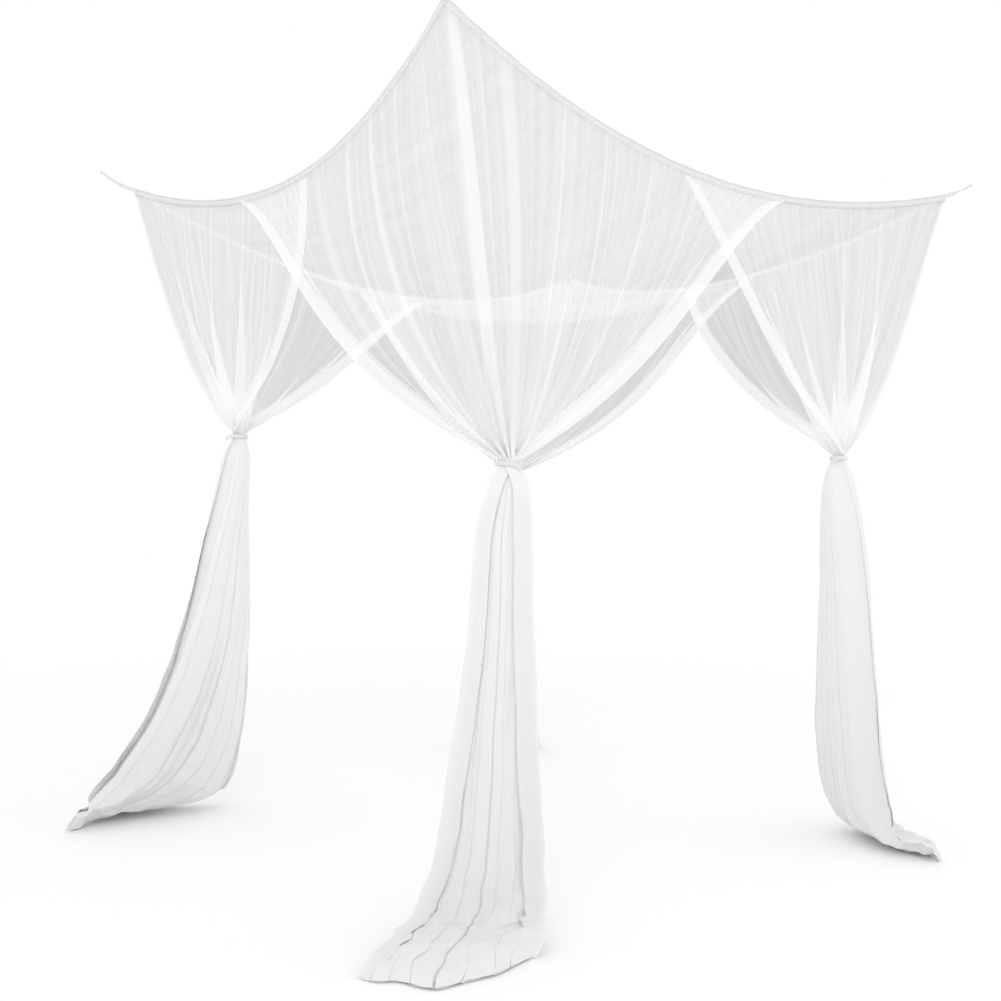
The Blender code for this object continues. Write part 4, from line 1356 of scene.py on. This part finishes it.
def stage_world():
    """A plain white room of soft light, with a painted shade behind the net, which shows the yarn's white."""
    world = bpy.data.worlds.new("white_room")
    world.use_nodes = True
    tree = world.node_tree
    tree.nodes.clear()
    seen = seen_through_net(tree)
    camera_ray = add_node(tree, "LightPath")["Is Camera Ray"]
    light = (camera_ray, WHITE_SEEN - ROOM_LIGHT, ROOM_LIGHT)
    light = add_node(tree, "Math", light, operation="MULTIPLY_ADD")[0]
    # Painted shade: the white is dimmer where seen through net.
    strength = (seen, WHITE_THROUGH_NET - WHITE_SEEN, light)
    strength = add_node(tree, "Math", strength, operation="MULTIPLY_ADD")[0]
    white = add_node(tree, "Background", {"Color": opaque_grey(1.0), "Strength": strength})[0]
    add_node(tree, "OutputWorld", {"Surface": white})
    bpy.context.scene.world = world


def set_pose(obj, x_axis, y_axis, z_axis, place):
    """Turns an object to these three axes and moves it to its place."""
    pose = np.eye(4)
    pose[:3] = np.stack([x_axis, y_axis, z_axis, place], axis=1)
    obj.matrix_world = Matrix(pose.tolist())


def add_area_light(name, place, aim, size, power):
    """A round soft light that faces what it aims at."""
    light = bpy.data.lights.new(name, "AREA")
    light.shape = "DISK"
    light.size = size
    light.energy = power
    forward = unit(aim - place)
    right = unit(np.cross(forward, UP))
    set_pose(add_object(name, light), right, np.cross(right, forward), -forward, place)


def add_camera(sizes):
    """The camera, from its yaw off +Y towards +X, its pitch above level and its roll."""
    yaw, pitch, roll = np.radians([CAMERA_YAW, CAMERA_PITCH, CAMERA_ROLL])
    forward = np.array([np.sin(yaw) * np.cos(pitch), np.cos(yaw) * np.cos(pitch), np.sin(pitch)])
    level = np.array([np.cos(yaw), -np.sin(yaw), 0])
    above = np.cross(level, forward)
    right = np.cos(roll) * level + np.sin(roll) * above
    up = np.cos(roll) * above - np.sin(roll) * level
    camera = add_object("camera", bpy.data.cameras.new("camera"))
    camera.data.sensor_width = CAMERA_SENSOR
    camera.data.lens = CAMERA_LENS
    set_pose(camera, right, up, -forward, CAMERA_PLACE - hang_point(sizes))
    bpy.context.scene.camera = camera


class CANOPY_OT_stage(bpy.types.Operator):
    """Makes the floor, the soft studio light and the camera"""

    bl_idname = "canopy.stage"
    bl_label = "Stage"

    def execute(self, context):
        sizes = context.scene.canopy_sizes
        add_camera(sizes)
        stage_floor(sizes)
        stage_world()
        middle = AIM_HEIGHT * UP - hang_point(sizes)
        for name, place, size, power in STUDIO_LIGHTS:
            add_area_light(name, middle + place, middle, size, power)
        context.scene.view_settings.view_transform = "Standard"
        context.scene.cycles.transparent_max_bounces = SEE_THROUGH_LAYERS
        return {"FINISHED"}


class CANOPY_PT_panel(bpy.types.Panel):
    """Lists the canopy's sizes, finish and pieces"""

    bl_label = "Net Canopy"
    bl_idname = "CANOPY_PT_panel"
    bl_space_type = "VIEW_3D"
    bl_region_type = "UI"
    bl_category = "Net Canopy"

    def draw(self, context):
        for group in (context.scene.canopy_sizes, context.scene.canopy_finish):
            for key in group.__annotations__:
                self.layout.prop(group, key)
        for operator in OPERATORS:
            self.layout.operator(operator.bl_idname)


OPERATORS = (
    CANOPY_OT_stage,
    CANOPY_OT_roof,
    CANOPY_OT_bindings,
    CANOPY_OT_curtains,
    CANOPY_OT_straps,
    CANOPY_OT_ties,
)
CLASSES = (CanopySizes, CanopyFinish, *OPERATORS, CANOPY_PT_panel)


def register():
    for kind in CLASSES:
        bpy.utils.register_class(kind)
    bpy.types.Scene.canopy_sizes = bpy.props.PointerProperty(type=CanopySizes)
    bpy.types.Scene.canopy_finish = bpy.props.PointerProperty(type=CanopyFinish)


def unregister():
    del bpy.types.Scene.canopy_sizes
    del bpy.types.Scene.canopy_finish
    for kind in reversed(CLASSES):
        bpy.utils.unregister_class(kind)


def main():
    register()
    bpy.ops.canopy.stage()
    bpy.ops.canopy.roof()
    bpy.ops.canopy.bindings()
    bpy.ops.canopy.curtains()
    bpy.ops.canopy.straps()
    bpy.ops.canopy.ties()


if __name__ == "__main__":
    main()
